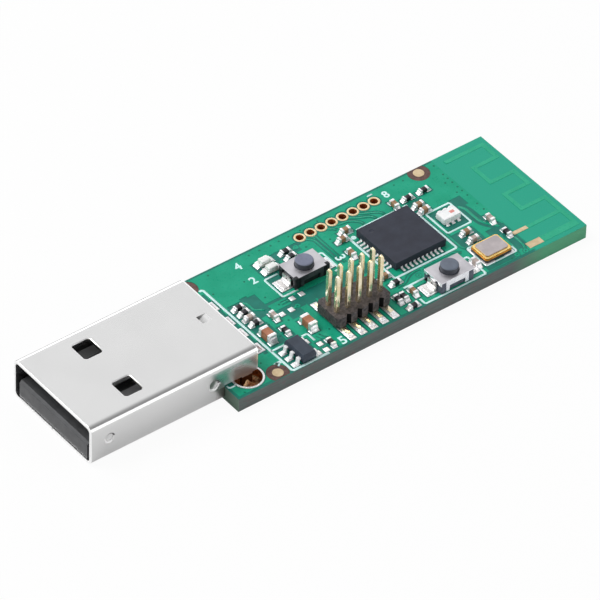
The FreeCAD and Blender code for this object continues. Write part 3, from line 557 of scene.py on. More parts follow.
# Hard gold on phosphor bronze where the strips slide, and plain nickel from there to their tails.
gold_plate = finish("gold flash on phosphor bronze", "#EBCB8A", "#DDBB78", 0.9, (0.18, 0.28), 0.08, 0.0005,
                    Metallic=1.0)
fade_along(gold_plate, spot(4.4, 0).x, spot(5.0, 0).x, "#CDCDCE")
tongue = merged_copy("usb_tongue", "plug_tongue")
round_edges(tongue, 0.05, segments=2, angle=40.0)
settle(tongue, [connector_plastic], ["usb_tongue"])
for contact in ("ground", "data_plus", "data_minus", "power"):
    strip = merged_copy("usb_contact_" + contact, "plug_contact_" + contact)
    round_edges(strip, 0.03, segments=2, angle=40.0)
    settle(strip, [gold_plate], ["usb_contact_" + contact])

# %% [markdown]
# ## The board
#
# The board is woven glass in epoxy, sawn at its edges, under a thin glossy green mask. Where copper lies
# under the mask the green is lighter, and bare laminate makes it a darker teal. Past the ground copper,
# at the aerial, light comes through the whole board and the green turns brighter again. The saw leaves
# the edge grey-brown, with the plies as fine level stripes and a few reddish fibres.

# %% Laminate and mask
aerial_zone_start = spot(50.4, 0).x
edge_turn_start = spot(47.5, 0).x
front_face_end = board_low.x + 0.03 * mm
board_material = finish("green mask on glass epoxy", "#237F70", "#1D7265", 1.4, (0.28, 0.36), 0.35, 0.0015,
                        Specular_IOR_Level=0.2)


def paint_board(material):
    """Teal mask above and below, brighter at the aerial, and the sawn plies round the edge."""
    tree = material.node_tree
    shader = tree.nodes["Principled BSDF"]
    where = add_node(tree, "ShaderNodeTexCoord").outputs["Object"]
    axes = add_node(tree, "ShaderNodeSeparateXYZ", {"Vector": where})
    normal = add_node(tree, "ShaderNodeNewGeometry").outputs["Normal"]
    facing = add_node(tree, "ShaderNodeSeparateXYZ", {"Vector": normal}).outputs["Z"]
    steep = add_node(tree, "ShaderNodeMath", {0: facing}, operation="ABSOLUTE").outputs[0]
    flat = add_node(tree, "ShaderNodeMath", {0: steep, 1: 0.5}, operation="GREATER_THAN").outputs[0]
    film = add_node(tree, "ShaderNodeMath", {0: axes.outputs["Z"], 1: board_top - 0.07 * mm},
                    operation="GREATER_THAN").outputs[0]
    masked = add_node(tree, "ShaderNodeMath", {0: flat, 1: film}, operation="MAXIMUM").outputs[0]
    at_aerial = add_node(tree, "ShaderNodeMapRange",
                         {"Value": axes.outputs["X"], "From Min": aerial_zone_start - 0.1 * mm,
                          "From Max": aerial_zone_start + 0.1 * mm})
    mask = add_node(tree, "ShaderNodeMix", {mix_factor: at_aerial.outputs["Result"],
                                            mix_a: feed(material, "Base Color"), mix_b: colour("#24A488")},
                    data_type="RGBA")
    ply_frame = add_node(tree, "ShaderNodeMapping", {"Vector": where, "Scale": (700.0, 700.0, 9000.0)})
    plies = add_node(tree, "ShaderNodeTexNoise", {"Vector": ply_frame.outputs["Vector"], "Scale": 1.0,
                                                  "Detail": 4.0})
    ply_mix = add_node(tree, "ShaderNodeMix", {mix_factor: plies.outputs["Fac"], mix_a: colour("#525B5A"),
                                               mix_b: colour("#737D7B")}, data_type="RGBA")
    fibres = add_node(tree, "ShaderNodeTexNoise", {"Vector": ply_frame.outputs["Vector"], "Scale": 2.1,
                                                   "Detail": 2.0})
    reddish = add_node(tree, "ShaderNodeMapRange", {"Value": fibres.outputs["Fac"], "From Min": 0.56,
                                                    "From Max": 0.7, "To Max": 0.55})
    sawn = add_node(tree, "ShaderNodeMix", {mix_factor: reddish.outputs["Result"],
                                            mix_a: ply_mix.outputs[mix_result], mix_b: colour("#85525A")},
                    data_type="RGBA")
    thin_copper = add_node(tree, "ShaderNodeMapRange", {"Value": axes.outputs["X"], "From Min": edge_turn_start,
                                                        "From Max": edge_turn_start + 4 * mm, "To Max": 0.8})
    edge = add_node(tree, "ShaderNodeMix", {mix_factor: thin_copper.outputs["Result"],
                                            mix_a: sawn.outputs[mix_result], mix_b: colour("#54A87E")},
                    data_type="RGBA")
    front = add_node(tree, "ShaderNodeMath", {0: axes.outputs["X"], 1: front_face_end}, operation="LESS_THAN")
    edge = add_node(tree, "ShaderNodeMix", {mix_factor: front.outputs[0], mix_a: edge.outputs[mix_result],
                                            mix_b: colour("#6B7F72")}, data_type="RGBA")
    whole = add_node(tree, "ShaderNodeMix", {mix_factor: masked, mix_a: edge.outputs[mix_result],
                                             mix_b: mask.outputs[mix_result]}, data_type="RGBA")
    gloss = add_node(tree, "ShaderNodeMix", {mix_factor: masked, 2: 0.75, 3: feed(material, "Roughness")})
    tree.links.new(whole.outputs[mix_result], shader.inputs["Base Color"])
    tree.links.new(gloss.outputs[0], shader.inputs["Roughness"])


paint_board(board_material)
dress("board", board_material)
print("board dressed, aerial zone from", round(aerial_zone_start / mm, 2), "mm")

# %% [markdown]
# ## Copper under the mask
#
# The ground copper covers most of the board and stops short of pads, holes and tracks. It starts as one
# thin plate. A cutter for every clearance is put where a pad or a track is, and one boolean takes them all
# away at once, so the grooves are real and meet as they do on an etched board.

# %% Places of tracks, clearances and fiducials
# Each track: its width, how much wider its clearance is, and its points from the tip and across, in mm
tracks = [
    (0.2, 0.26, [(33.7, 6.2), (34.1, 5.75), (34.42, 5.4), (34.42, 1.4)]),
    (0.2, 0.26, [(34.8, 6.2), (34.86, 5.8), (34.86, 1.2)]),
    (0.2, 0.26, [(36.2, 6.2), (36.5, 5.85), (36.9, 5.6), (37.05, 5.3)]),
    (0.2, 0.26, [(37.4, 6.1), (37.7, 5.8), (38.6, 5.7), (39.15, 5.35), (39.6, 4.85), (39.62, 4.4)]),
    (0.2, 0.26, [(38.7, 6.1), (39.1, 5.95), (39.7, 5.5), (40.4, 5.2), (40.9, 4.9), (41.1, 4.4)]),
    (0.2, 0.26, [(40.0, 6.1), (40.4, 5.75), (41.2, 5.35), (41.9, 4.95), (42.1, 4.4)]),
    (0.3, 0.8, [(48.35, 1.2), (48.75, 0.6), (48.75, -1.5), (49.1, -2.3), (49.65, -2.95), (49.75, -3.3)]),
    (0.2, 0.26, [(44.98, 2.0), (44.98, -3.5), (45.25, -4.0)]),
    (0.24, 0.26, [(45.35, 1.2), (45.35, -0.6), (45.7, -1.0)]),
    (0.2, 0.26, [(36.6, -4.45), (37.5, -4.45), (38.5, -3.8), (39.2, -3.62), (43.9, -3.62), (44.5, -4.2)]),
    (0.3, 0.26, [(49.02, -4.3), (49.02, -6.6), (48.7, -7.3)]),
    (0.2, 0.26, [(50.0, -5.3), (49.95, -6.7), (49.65, -7.4)]),
    (0.2, 0.26, [(23.55, 2.3), (23.85, 2.0), (23.85, 0.9), (24.4, 0.55), (24.7, 0.3)]),
    (0.2, 0.26, [(26.9, -1.1), (27.5, -1.0)]),
    (0.25, 0.26, [(26.4, 0.1), (27.3, 0.1)]),
    (0.3, 0.26, [(26.5, -5.3), (26.7, -5.9), (26.9, -6.1)]),
    (0.2, 0.26, [(32.0, 5.6), (32.5, 5.6)]),
]
# Areas where the copper is left out: from and to along the board, from and to across it
bare_areas = [
    (21.95, 25.2, -0.4, 2.65), (23.6, 24.4, 2.4, 2.9), (25.0, 27.1, 0.6, 0.95), (27.3, 36.4, -1.2, 0.35),
    (25.3, 28.3, -1.35, -0.4), (26.0, 27.55, -2.3, -1.3), (21.95, 23.8, -4.35, -1.1), (24.1, 24.95, -4.1, -2.3),
    (27.3, 29.9, 2.0, 6.15), (29.9, 32.7, 5.0, 6.2), (32.2, 33.1, 5.7, 6.2), (44.7, 48.15, -1.1, 1.95),
    (48.1, 49.05, 1.2, 2.1), (45.0, 47.7, -4.0, -1.7), (48.2, 50.4, -5.1, -3.1), (49.2, 50.4, -7.0, -5.0),
    (45.0, 48.9, -7.7, -7.0), (20.9, 21.35, -4.6, 5.4), (22.0, 25.2, -7.9, -4.6), (44.4, 46.3, 2.3, 4.35),
    # The last two areas, under the plug's side walls, are left bare only to darken the board there: painted shade.
    (48.1, 49.5, 1.0, 2.4), (15.0, 17.3, -6.25, -5.2), (15.0, 17.3, 5.2, 6.25),
]
fiducials = [(20.4, -7.25), (48.4, 7.25), (20.5, 6.9)]
fiducial_clear_radius = 1.15
vias = [
    (28.1, 7.3), (29.35, 7.3), (30.6, 7.2), (31.6, 7.25), (32.75, 7.25), (34.15, 7.3), (45.4, 7.25), (46.5, 7.25),
    (50.2, 7.2), (25.75, 1.7), (25.2, 0.2), (26.2, 0.15), (23.75, -1.5), (23.6, -3.35), (25.6, -2.1), (27.9, -5.3),
    (50.15, 5.7), (50.15, 5.0), (50.15, 4.3), (50.15, 3.5), (50.15, 2.8), (50.15, 2.0), (50.15, 0.5), (50.15, -0.5),
    (49.55, 4.6), (49.6, 2.9), (33.2, 5.1), (35.7, 4.65), (25.5, 4.6), (22.1, 4.9), (24.2, -5.0), (19.9, -5.3),
    (16.3, -7.6), (36.3, 7.4), (43.6, 5.2), (23.3, 7.3), (16.4, 7.4), (28.9, -7.55), (36.0, -7.7), (47.9, -7.6),
]
ringed_vias = [(27.5, -1.0), (32.4, 5.65), (48.6, -7.45), (49.6, -7.5), (39.3, -4.3), (40.1, -3.95)]
print(len(tracks), "tracks,", len(vias) + len(ringed_vias), "vias")

# %% Ground copper
pour_edge = 0.25
pour = start_block("ground_copper", spot(15.3 + pour_edge, -8 + pour_edge, board_top - 0.01 * mm),
                   spot(50.45, 8 - pour_edge, board_top + copper_step))
cut_low, cut_high = board_top - 0.2 * mm, board_top + 0.2 * mm
cutters = []
pad_clearance = 0.16 * mm
for low, high in solid_boxes("solder_pads"):
    if low.x > aerial_zone_start:
        continue
    cutters.append(start_block("clearance", (low.x - pad_clearance, low.y - pad_clearance, cut_low),
                               (high.x + pad_clearance, high.y + pad_clearance, cut_high)))
for x_low, x_high, y_low, y_high in bare_areas:
    cutters.append(start_block("clearance", spot(x_low, y_low, cut_low), spot(x_high, y_high, cut_high)))
cut_depth = cut_high - cut_low
round_clearances = [(x, y, fiducial_clear_radius) for x, y in fiducials]
round_clearances += [(x, y, 0.34) for x, y in ringed_vias]
for node in ("header_hole_barrels", "leg_hole_barrels"):
    for low, high in solid_boxes(node):
        middle = (low + high) / 2
        round_clearances.append(((middle.x - tip) / mm, middle.y / mm, (high.x - low.x) / mm / 2 + 0.15))
for x, y, radius in round_clearances:
    hole = turned("clearance", [(radius, cut_low / mm), (radius, cut_high / mm)], 32)
    hole.data.transform(Matrix.Translation(spot(x, y, 0)))
    cutters.append(hole)
for width, clearance, points in tracks:
    cutters.append(line_on_board("clearance", points, width + clearance, cut_low, cut_high))
cutter = join(cutters, "clearances")
apply_modifier(pour, "BOOLEAN", operation="DIFFERENCE", object=cutter, solver="EXACT", use_self=True)
discard(cutter)
print("ground copper has", len(pour.data.polygons), "faces")

# %% Mask over copper
# Glossy epoxy film over rolled copper: a lively green, a little uneven where the film pooled.
masked_copper = finish("green mask on copper", "#24A886", "#199E7C", 1.8, (0.26, 0.34), 0.3, 0.0015,
                       Specular_IOR_Level=0.15)
settle(pour, [masked_copper])
strips = [line_on_board("track", points, width, board_top - 0.01 * mm, board_top + copper_step)
          for width, _, points in tracks]
rings = turned("via_ring", [(0.1, 1.59), (0.27, 1.59), (0.27, 1.62), (0.25, 1.63), (0.12, 1.63), (0.1, 1.62)], 16,
               hollow=True)
strips.append(stamp(rings, "via_rings", [(spot(x, y, 0), 0.0) for x, y in ringed_vias]))
track_piece = join(strips, "tracks")
settle(track_piece, [masked_copper])

# %% [markdown]
# Small vias join the copper on both sides. The mask sinks into each one and leaves a dark dot, so a via is
# a shallow dish with a low rim. It is turned once and stamped at every place.

# %% Vias
# The same mask, pooled thick in the hole: darker and very glossy.
via_mask = finish("green mask pooled in a via", "#1A755F", "#156552", 0.5, (0.2, 0.3), 0.1, 0.001,
                  Specular_IOR_Level=0.2)
level = (board_top + copper_step) / mm
dish = turned("via", [(0.105, level - 0.01), (0.105, level + 0.003), (0.09, level + 0.006), (0.06, level + 0.003),
                      (0.03, level)], 12)
via_piece = stamp(dish, "vias", [(spot(x, y, 0), 0.0) for x, y in vias])
pick(via_piece)
bpy.ops.object.shade_smooth_by_angle(angle=math.radians(50))
settle(via_piece, [via_mask])

# %% [markdown]
# ## The printed aerial
#
# The aerial is copper folded back and forth under the mask. Only two short lengths at its feed are bare and
# gold plated. A merged copy is cut across where the mask begins, its faces are sorted, and its edges are
# rounded, because mask flows over copper softly.

# %% Aerial
# Mask over copper with no copper behind the board: a shade lighter than the ground beside it.
aerial_mask = finish("green mask on the aerial", "#36B18C", "#2EA984", 1.5, (0.26, 0.34), 0.3, 0.0015,
                     Specular_IOR_Level=0.15)
# Immersion gold on etched copper: pale, matt, with the grain of the copper under it.
pad_gold = finish("immersion gold on copper", "#D8C29E", "#C8B18C", 0.5, (0.42, 0.55), 0.06, 0.004, Metallic=0.5)
aerial = merged_copy("antenna_trace", "aerial")
mask_start = spot(51.85, 0).x
bpy.ops.object.select_all(action="DESELECT")
pick(aerial)
bpy.ops.object.mode_set(mode="EDIT")
bpy.ops.mesh.select_all(action="SELECT")
bpy.ops.mesh.bisect(plane_co=(mask_start, 0, 0), plane_no=(1, 0, 0), threshold=snap)
choose(aerial, "verts", lambda vert: vert.co.z > board_top + 0.02 * mm and vert.co.x > mask_start - 0.01 * mm)
bpy.ops.transform.translate(value=(0, 0, -0.022 * mm))
bpy.ops.object.mode_set(mode="OBJECT")
for material in (aerial_mask, pad_gold):
    aerial.data.materials.append(material)
for face in aerial.data.polygons:
    face.material_index = 1 if face.center.x < mask_start and face.center.y < -4 * mm else 0
round_edges(aerial, 0.02, segments=2, angle=50.0)
settle(aerial, [], ["antenna_trace"])

# %% [markdown]
# ## Plated holes
#
# A plated hole is a copper barrel with a flat ring on each face of the board. The ring's edge is slightly
# rounded by the plating, and the bore shows dark copper. The section is drawn once as (radius, height) and
# turned. The row has gold-plated rings; the two big holes that take the plug's legs are tinned.

# %% Barrels
# Bare copper darkens inside a hole, so the bore is brown with orange glints.
bore_copper = finish("copper plated bore", "#CE7C42", "#8C4C25", 0.3, (0.3, 0.45), 0.08, 0.002, Metallic=0.7)
ring_gold = finish("immersion gold ring", "#F0D9B4", "#E3C596", 0.4, (0.38, 0.5), 0.06, 0.003, Metallic=0.5)
ring_tin = finish("tinned ring", "#FFFFFF", "#ECEAEC", 0.4, (0.22, 0.34), 0.1, 0.003, Metallic=0.6)
under_ring = -0.012


def plated_holes(node, name, bore, ring, ring_finish):
    """Turned barrels at the places of a CAD node's barrels."""
    barrel = turned(name, [(bore, under_ring), (bore, 1.6), (bore + 0.015, 1.64), (bore + 0.05, 1.655),
                           (ring - 0.05, 1.655), (ring - 0.012, 1.64), (ring, 1.6), (bore + 0.06, 1.595),
                           (bore + 0.06, 0.01), (ring, 0.005), (ring, under_ring)], 48, hollow=True)
    barrel.data.materials.append(ring_finish)
    barrel.data.materials.append(bore_copper)
    for face in barrel.data.polygons:
        middle = face.center
        inside = math.hypot(middle.x, middle.y) < (bore + 0.01) * mm
        face.material_index = 1 if inside else 0
    places = [((low + high) / 2, 0.0) for low, high in solid_boxes(node)]
    row = stamp(barrel, name, [(Vector((place.x, place.y, 0)), turn) for place, turn in places])
    discard(barrel)
    pick(row)
    bpy.ops.object.shade_smooth_by_angle(angle=math.radians(45))
    return row


row_holes = plated_holes("header_hole_barrels", "row_hole_barrels", 0.38, 0.6, ring_gold)
settle(row_holes, [], ["header_hole_barrels"])
leg_holes = plated_holes("leg_hole_barrels", "leg_hole_rings", 1.4, 1.62, ring_tin)
settle(leg_holes, [], ["leg_hole_barrels"])

# %% [markdown]
# The plug's legs are soldered into the two big holes from below. The solder climbs each leg and the wall, and
# stays hollow between them; old flux on it makes it brown, and pale orange is painted on it as a reflection of the
# copper.

# %% Solder in the leg holes
# Tin solder under baked flux: brown and glossy, with pale orange patches painted on as glints from the bore.
flux_solder_painted_glints = finish("tin solder under flux, painted glints", "#FFD09C", "#7A4E30", 0.45, (0.22, 0.36), 0.2, 0.014, Metallic=0.5)
hollow = turned("leg_solder", [(1.39, 0.06), (1.39, 0.75), (1.25, 0.6), (0.95, 0.52), (0.6, 0.62), (0.3, 0.9),
                               (0.12, 1.2)], 32)
leg_x = tip + (19.0 - 1.2) * mm
seats = [(Vector((leg_x, sign * 5.9 * mm, 0)), 0.0) for sign in (-1, 1)]
fills = stamp(hollow, "leg_hole_solder", seats)
discard(hollow)
pick(fills)
bpy.ops.object.shade_smooth_by_angle(angle=math.radians(60))
settle(fills, [flux_solder_painted_glints])

# %% [markdown]
# ## Fiducials
#
# Placement machines find the board by small bare gold discs, each in a round window of bare laminate. The
# windows sit so close to the long edges that they run off the board, so they are cut along those edges.

# %% Fiducials
# Bare laminate under no mask: brown, matt and slightly woven.
bare_laminate = finish("bare glass epoxy", "#6A4A44", "#4A332F", 0.4, (0.55, 0.7), 0.15, 0.004)
window = turned("fiducial_window", [(1.12, 1.598), (1.12, 1.604), (1.1, 1.606)], 40)
disc = turned("fiducial_disc", [(0.55, 1.6), (0.55, 1.63), (0.52, 1.64)], 40)
windows = stamp(window, "fiducial_windows", [(spot(x, y, 0), 0.0) for x, y in fiducials])
pick(windows)
bpy.ops.object.mode_set(mode="EDIT")
for edge, outward in ((board_high.y - 0.02 * mm, 1), (board_low.y + 0.02 * mm, -1)):
    bpy.ops.mesh.select_all(action="SELECT")
    bpy.ops.mesh.bisect(plane_co=(0, edge, 0), plane_no=(0, outward, 0), threshold=snap, use_fill=True,
                        clear_outer=True)
bpy.ops.object.mode_set(mode="OBJECT")
settle(windows, [bare_laminate])
discs = stamp(disc, "fiducial_discs", [(spot(x, y, 0), 0.0) for x, y in fiducials])
settle(discs, [pad_gold])
discard(window, disc, dish, rings)

# %% [markdown]
# ## White print
#
# The print is thick white epoxy ink, screened over the mask. Outlines show where parts go. Words and
# type marks are left off; plain numbers stand beside the switches and at the ends of the hole row.

# %% Print
# Screened ink: bright, faintly cyan from the green under it, with a matt grain.
white_ink = finish("white epoxy ink, screened", "#E4FFFF", "#D8FFFD", 0.5, (0.45, 0.6), 0.08, 0.002)
ink_low, ink_high = board_top + copper_step - 0.004 * mm, board_top + copper_step + 0.014 * mm
outlines = [
    (0.28, [(21.25, 5.95), (21.65, 5.95), (21.65, -8.0 + 0.14), (25.9, -7.86)], False),
    (0.2, [(15.45, -5.95), (15.5, -6.35), (16.15, -6.35)], False),
    (0.23, [(21.65, -4.6), (23.45, -4.6)], False),
    (0.23, [(25.2, -4.6), (25.85, -4.6), (25.85, -5.75)], False),
    (0.18, [(20.95, -6.1), (21.3, -6.35), (20.95, -6.6)], False),
    (0.26, [(37.2, 3.9), (37.2, -3.35), (44.62, -3.35), (44.62, 2.2)], False),
    (0.22, [(37.45, 4.22), (38.1, 4.22)], False),
    (0.22, [(38.5, 4.22), (43.1, 4.22)], False),
    (0.22, [(44.1, 4.22), (44.62, 4.22)], False),
    (0.23, [(28.7, 3.65), (27.15, 3.65), (27.15, 0.78), (28.9, 0.78)], False),
    (0.23, [(33.45, 3.6), (33.9, 3.6), (33.9, 0.78), (33.3, 0.78)], False),
    (0.23, [(39.6, -4.92), (37.0, -4.92)], False),
    (0.23, [(37.3, -7.0), (37.3, -7.82), (44.55, -7.82), (44.55, -7.0)], False),
    (0.23, [(44.1, -4.95), (44.6, -4.95), (44.6, -5.5)], False),
    (0.23, [(45.2, 2.15), (45.2, -1.25), (48.05, -1.25), (48.05, 2.15)], True),
    (0.22, [(46.9, -4.05), (45.25, -4.05), (45.25, -7.0), (48.9, -7.0), (48.9, -6.2)], False),
    (0.16, [(42.3, 7.42), (42.9, 7.42)], False),
]
ink_pieces = [line_on_board("print", points, width, ink_low, ink_high, closed)
              for width, points, closed in outlines]
arrow = start_block("print_arrow", spot(20.75, -6.45, ink_low), spot(21.5, -6.05, ink_high))
pick(arrow)
bpy.ops.object.mode_set(mode="EDIT")
arrow_tip = spot(21.5, 0).x
choose(arrow, "verts", lambda vert: vert.co.x < arrow_tip - 0.1 * mm)
bpy.ops.transform.resize(value=(1, 0.12, 1), center_override=tuple(spot(20.75, -6.1)))
bpy.ops.object.mode_set(mode="OBJECT")
ink_pieces.append(arrow)
pin_one = turned("print_dot", [(0.27, ink_low / mm), (0.27, ink_high / mm - 0.004), (0.24, ink_high / mm)], 20)
pin_one.data.transform(Matrix.Translation(spot(37.62, 3.5, 0)))
ink_pieces.append(pin_one)
print(len(ink_pieces), "printed lines")

# %% Plain numbers
# Each number: what it says, its height in mm, its middle, and its turn
numbers = [("8", 0.95, (43.9, 6.6), 0), ("4", 1.0, (26.3, 6.6), 0), ("2", 1.0, (26.3, 4.2), 0),
           ("3", 1.1, (34.85, 2.0), -90), ("5", 1.1, (27.95, -7.3), 0)]
for text, height, (from_tip, across), turn in numbers:
    bpy.ops.object.select_all(action="DESELECT")
    bpy.ops.object.text_add(location=(0, 0, 0))
    figure = bpy.context.view_layer.objects.active
    figure.data.body = text
    figure.data.align_x = "CENTER"
    figure.data.align_y = "CENTER"
    figure.data.size = height * mm * 1.35
    figure.data.offset = 0.03 * mm
    figure.data.resolution_u = 3
    figure.data.extrude = (ink_high - ink_low) / 2
    bpy.ops.object.convert(target="MESH")
    figure = bpy.context.view_layer.objects.active
    place = Matrix.Translation(spot(from_tip, across, (ink_low + ink_high) / 2))
    figure.data.transform(place @ Matrix.Rotation(math.radians(turn), 4, "Z"))
    pick(figure)
    bpy.ops.object.mode_set(mode="EDIT")
    bpy.ops.mesh.select_all(action="SELECT")
    bpy.ops.mesh.remove_doubles(threshold=0.001 * mm)
    bpy.ops.mesh.normals_make_consistent(inside=False)
    bpy.ops.object.mode_set(mode="OBJECT")
    ink_pieces.append(figure)
print_piece = join(ink_pieces, "white_print")
settle(print_piece, [white_ink])

# %% [markdown]
# ## Solder
#
# Every pad carries a low mound of solder with soft edges, because molten solder pulls itself round. All
# pads are shaped together: their tops are inset and raised, and then every edge is rounded.

# %% Solder pads
# Bright tin solder: mirror-like in the middle and frosty at the edge, where it cooled last.
solder_tin = finish("tin solder", "#FFFFFF", "#E6E4E9", 0.35, (0.16, 0.32), 0.12, 0.01, Metallic=0.5)
pads = merged_copy("solder_pads", "solder_mounds")
pick(pads)
bpy.ops.object.mode_set(mode="EDIT")
choose(pads, "faces", lambda face: face.normal.z > 0.9)
bpy.ops.mesh.inset(thickness=0.07 * mm, depth=0.03 * mm, use_individual=True)
# The pads on the header's far side end a little nearer to it, so that it hides them from the front.
header_low, header_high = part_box("header_body")
choose(pads, "verts", lambda vert: header_low.x < vert.co.x < header_high.x and -1.5 * mm < vert.co.y < -1.0 * mm)
bpy.ops.transform.translate(value=(0, -0.4 * mm, 0))
bpy.ops.object.mode_set(mode="OBJECT")
round_edges(pads, 0.04, segments=2, angle=20.0, smooth=60.0)
# Round the chip the solder is thinner and frosty all over.
frosty_tin = finish("tin solder, frosty", "#FFFFFF", "#F4F3F6", 0.35, (0.35, 0.5), 0.12, 0.006, Metallic=0.1)
pads.data.materials.append(solder_tin)
pads.data.materials.append(frosty_tin)
chip_low, chip_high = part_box("radio_chip")
for face in pads.data.polygons:
    inside = all(chip_low[axis] - 0.6 * mm < face.center[axis] < chip_high[axis] + 0.6 * mm for axis in (0, 1))
    face.material_index = 1 if inside else 0
settle(pads, [], ["solder_pads"])

# %% [markdown]
# ## Chip capacitors and resistors
#
# A chip part is a ceramic block with a metal cap dipped on each end and a solder fillet up each cap. The
# block is cut across where the caps begin, the end faces are fattened a little, and a wedge with a hollow
# slope makes the fillet. Each kind is modelled once and stamped with its own ceramic.

# %% Model of a chip part


def fillet(reach, inside, half_width, height):
    """A wedge of solder with a hollow slope, from inside a cap out to the end of its pad, along +X."""
    wedge = start_block("fillet", (inside * mm, -half_width * mm, -0.02 * mm),
                        (reach * mm, half_width * mm, height * mm))
    pick(wedge)
    bpy.ops.object.mode_set(mode="EDIT")
    bpy.ops.mesh.select_all(action="SELECT")
    span = reach - inside
    profile = [(0.3, 0.85), (0.5, 0.5), (0.75, 0.25), (1.0, 0.06)]
    for share, _ in profile[:-1]:
        bpy.ops.mesh.select_all(action="SELECT")
        bpy.ops.mesh.bisect(plane_co=((inside + share * span) * mm, 0, 0), plane_no=(1, 0, 0), threshold=snap)
    for share, level_share in profile:
        place = (inside + share * span) * mm
        choose(wedge, "verts", lambda vert: abs(vert.co.x - place) < 0.004 * mm and vert.co.z > height * mm * 0.9)
        bpy.ops.transform.translate(value=(0, 0, (level_share - 1) * height * mm))
    bpy.ops.object.mode_set(mode="OBJECT")
    return wedge


def chip_part(name, size, cap, proud, body_finish, metal_finish, pad_reach, edge=0.04):
    """A block of length, width and height in mm at the origin, capped and soldered at both ends."""
    length, width, height = size
    inset = proud * mm
    part = start_block(name, (-length * mm / 2 + inset, -width * mm / 2 + inset, 0),
                       (length * mm / 2 - inset, width * mm / 2 - inset, height * mm - inset))
    cap_start = (length / 2 - cap) * mm
    pick(part)
    bpy.ops.object.mode_set(mode="EDIT")
    for side in (-1, 1):
        bpy.ops.mesh.select_all(action="SELECT")
        bpy.ops.mesh.bisect(plane_co=(side * cap_start, 0, 0), plane_no=(1, 0, 0), threshold=snap)
    choose(part, "faces", lambda face: abs(face.calc_center_median().x) > cap_start)
    bpy.ops.mesh.extrude_region_shrink_fatten(TRANSFORM_OT_shrink_fatten={"value": inset, "use_even_offset": True})
    bpy.ops.object.mode_set(mode="OBJECT")
    part.data.materials.append(body_finish)
    part.data.materials.append(metal_finish)
    for face in part.data.polygons:
        face.material_index = 1 if abs(face.center.x) > cap_start - 0.001 * mm else 0
    round_edges(part, edge, segments=2, angle=50.0)
    mounds = []
    for side in (0, math.pi):
        wedge = fillet(pad_reach, length / 2 - 0.05, width / 2 * 0.96, height * 0.72)
        wedge.data.transform(Matrix.Rotation(side, 4, "Z"))
        wedge.data.materials.append(metal_finish)
        round_edges(wedge, 0.03, segments=2, angle=35.0, smooth=80.0)
        mounds.append(wedge)
    return join([part] + mounds, name)


def chip_places(node):
    """Place and turn of each chip part in a CAD node."""
    places = []
    for low, high in solid_boxes(node):
        middle = (low + high) / 2
        turn = 0.0 if high.x - low.x > high.y - low.y else math.pi / 2
        places.append((Vector((middle.x, middle.y, low.z)), turn))
    return places


# %% Ceramics and glazes
# Barium titanate bodies are unglazed: matt, dense, and brown to grey with the recipe.
cap_tin = finish("plated end cap", "#FFFFFF", "#E4E1E5", 0.3, (0.24, 0.4), 0.09, 0.006, Metallic=0.6)
brown_ceramic = finish("brown capacitor ceramic", "#B4785A", "#A26748", 0.5, (0.5, 0.62), 0.07, 0.003)
tan_ceramic = finish("tan capacitor ceramic", "#A58262", "#8C6A4C", 0.35, (0.5, 0.62), 0.07, 0.003)
grey_ceramic = finish("grey capacitor ceramic", "#C3B4AC", "#A6968F", 0.35, (0.5, 0.62), 0.07, 0.003)
# A resistor is white alumina under a black glaze, which is smooth and catches a thin highlight.
resistor_glaze = finish("black resistor glaze", "#25232A", "#19171D", 0.3, (0.25, 0.35), 0.1, 0.002,
                        Specular_IOR_Level=0.35)

# %% Capacitors
ceramics = {"brown": brown_ceramic, "tan": tan_ceramic, "grey": grey_ceramic}
recipes = {
    "input_capacitor": "brown", "output_capacitor": "brown", "usb_capacitor": "grey", "reset_capacitor": "grey",
    "row_capacitor_a": "tan", "row_capacitor_b": "tan", "chip_capacitor_left": "tan", "chip_capacitor_low": "tan",
    "switch_capacitor": "tan", "crystal_capacitor": "grey", "filter_capacitor_a": "tan",
    "filter_capacitor_b": "grey", "aerial_capacitor": "grey", "chip_capacitor_top": "tan",
    "chip_capacitor_right_a": "tan", "chip_capacitor_right_b": "tan",
}
for ceramic, body_finish in ceramics.items():
    if ceramic == "brown":
        model = chip_part("large_capacitor", (1.6, 0.86, 0.88), 0.34, 0.02, body_finish, cap_tin, 1.08, 0.06)
    else:
        model = chip_part("small_capacitor", (1.0, 0.5, 0.5), 0.24, 0.02, body_finish, cap_tin, 0.76)
    for node, recipe in recipes.items():
        if recipe == ceramic:
            piece = stamp(model, "chip_" + node, chip_places(node))
            settle(piece, [], [node])
    discard(model)

# %% Resistors
model = chip_part("small_resistor", (1.0, 0.5, 0.37), 0.22, 0.02, resistor_glaze, cap_tin, 0.76)
for group in ("usb_resistors", "regulator_resistors", "lamp_resistors", "switch_resistors", "aerial_resistors"):
    piece = stamp(model, "chip_" + group, chip_places(group))
    settle(piece, [], [group])
discard(model)

# %% [markdown]
# ## Radio chip
#
# The chip is a flat square of black mould compound with its forty terminals flush along its edges. Its top
# is left without marking. The compound is matt with a fine silica grain, and the saw leaves sharp edges,
# so the copy is rounded by a few hundredths only.

# %% Chip
# Silica-filled epoxy: a matt blue-black that goes slightly grey at a grazing light.
chip_epoxy = finish("epoxy mould compound", "#2F3340", "#282B37", 1.2, (0.5, 0.62), 0.05, 0.0025,
                    Specular_IOR_Level=0.3)
chip = merged_copy("radio_chip", "radio_chip_body")
round_edges(chip, 0.03, segments=2, angle=50.0)
settle(chip, [chip_epoxy], ["radio_chip"])
terminal_tin = finish("tinned lead frame", "#FFFFFF", "#F2F0F4", 0.2, (0.25, 0.4), 0.08, 0.003, Metallic=0.1)
dress("radio_chip_terminals", terminal_tin)

# %% [markdown]
# ## Crystal
#
# The crystal sits in a dark ceramic tray, whose upper wall is metallised. A gold-plated ring is brazed on it,
# and a flat lid is seam welded on the ring: the gold shows as a bright rim round the grey lid. The tray is cut
# across where the metal begins, and its faces are sorted into the two finishes.

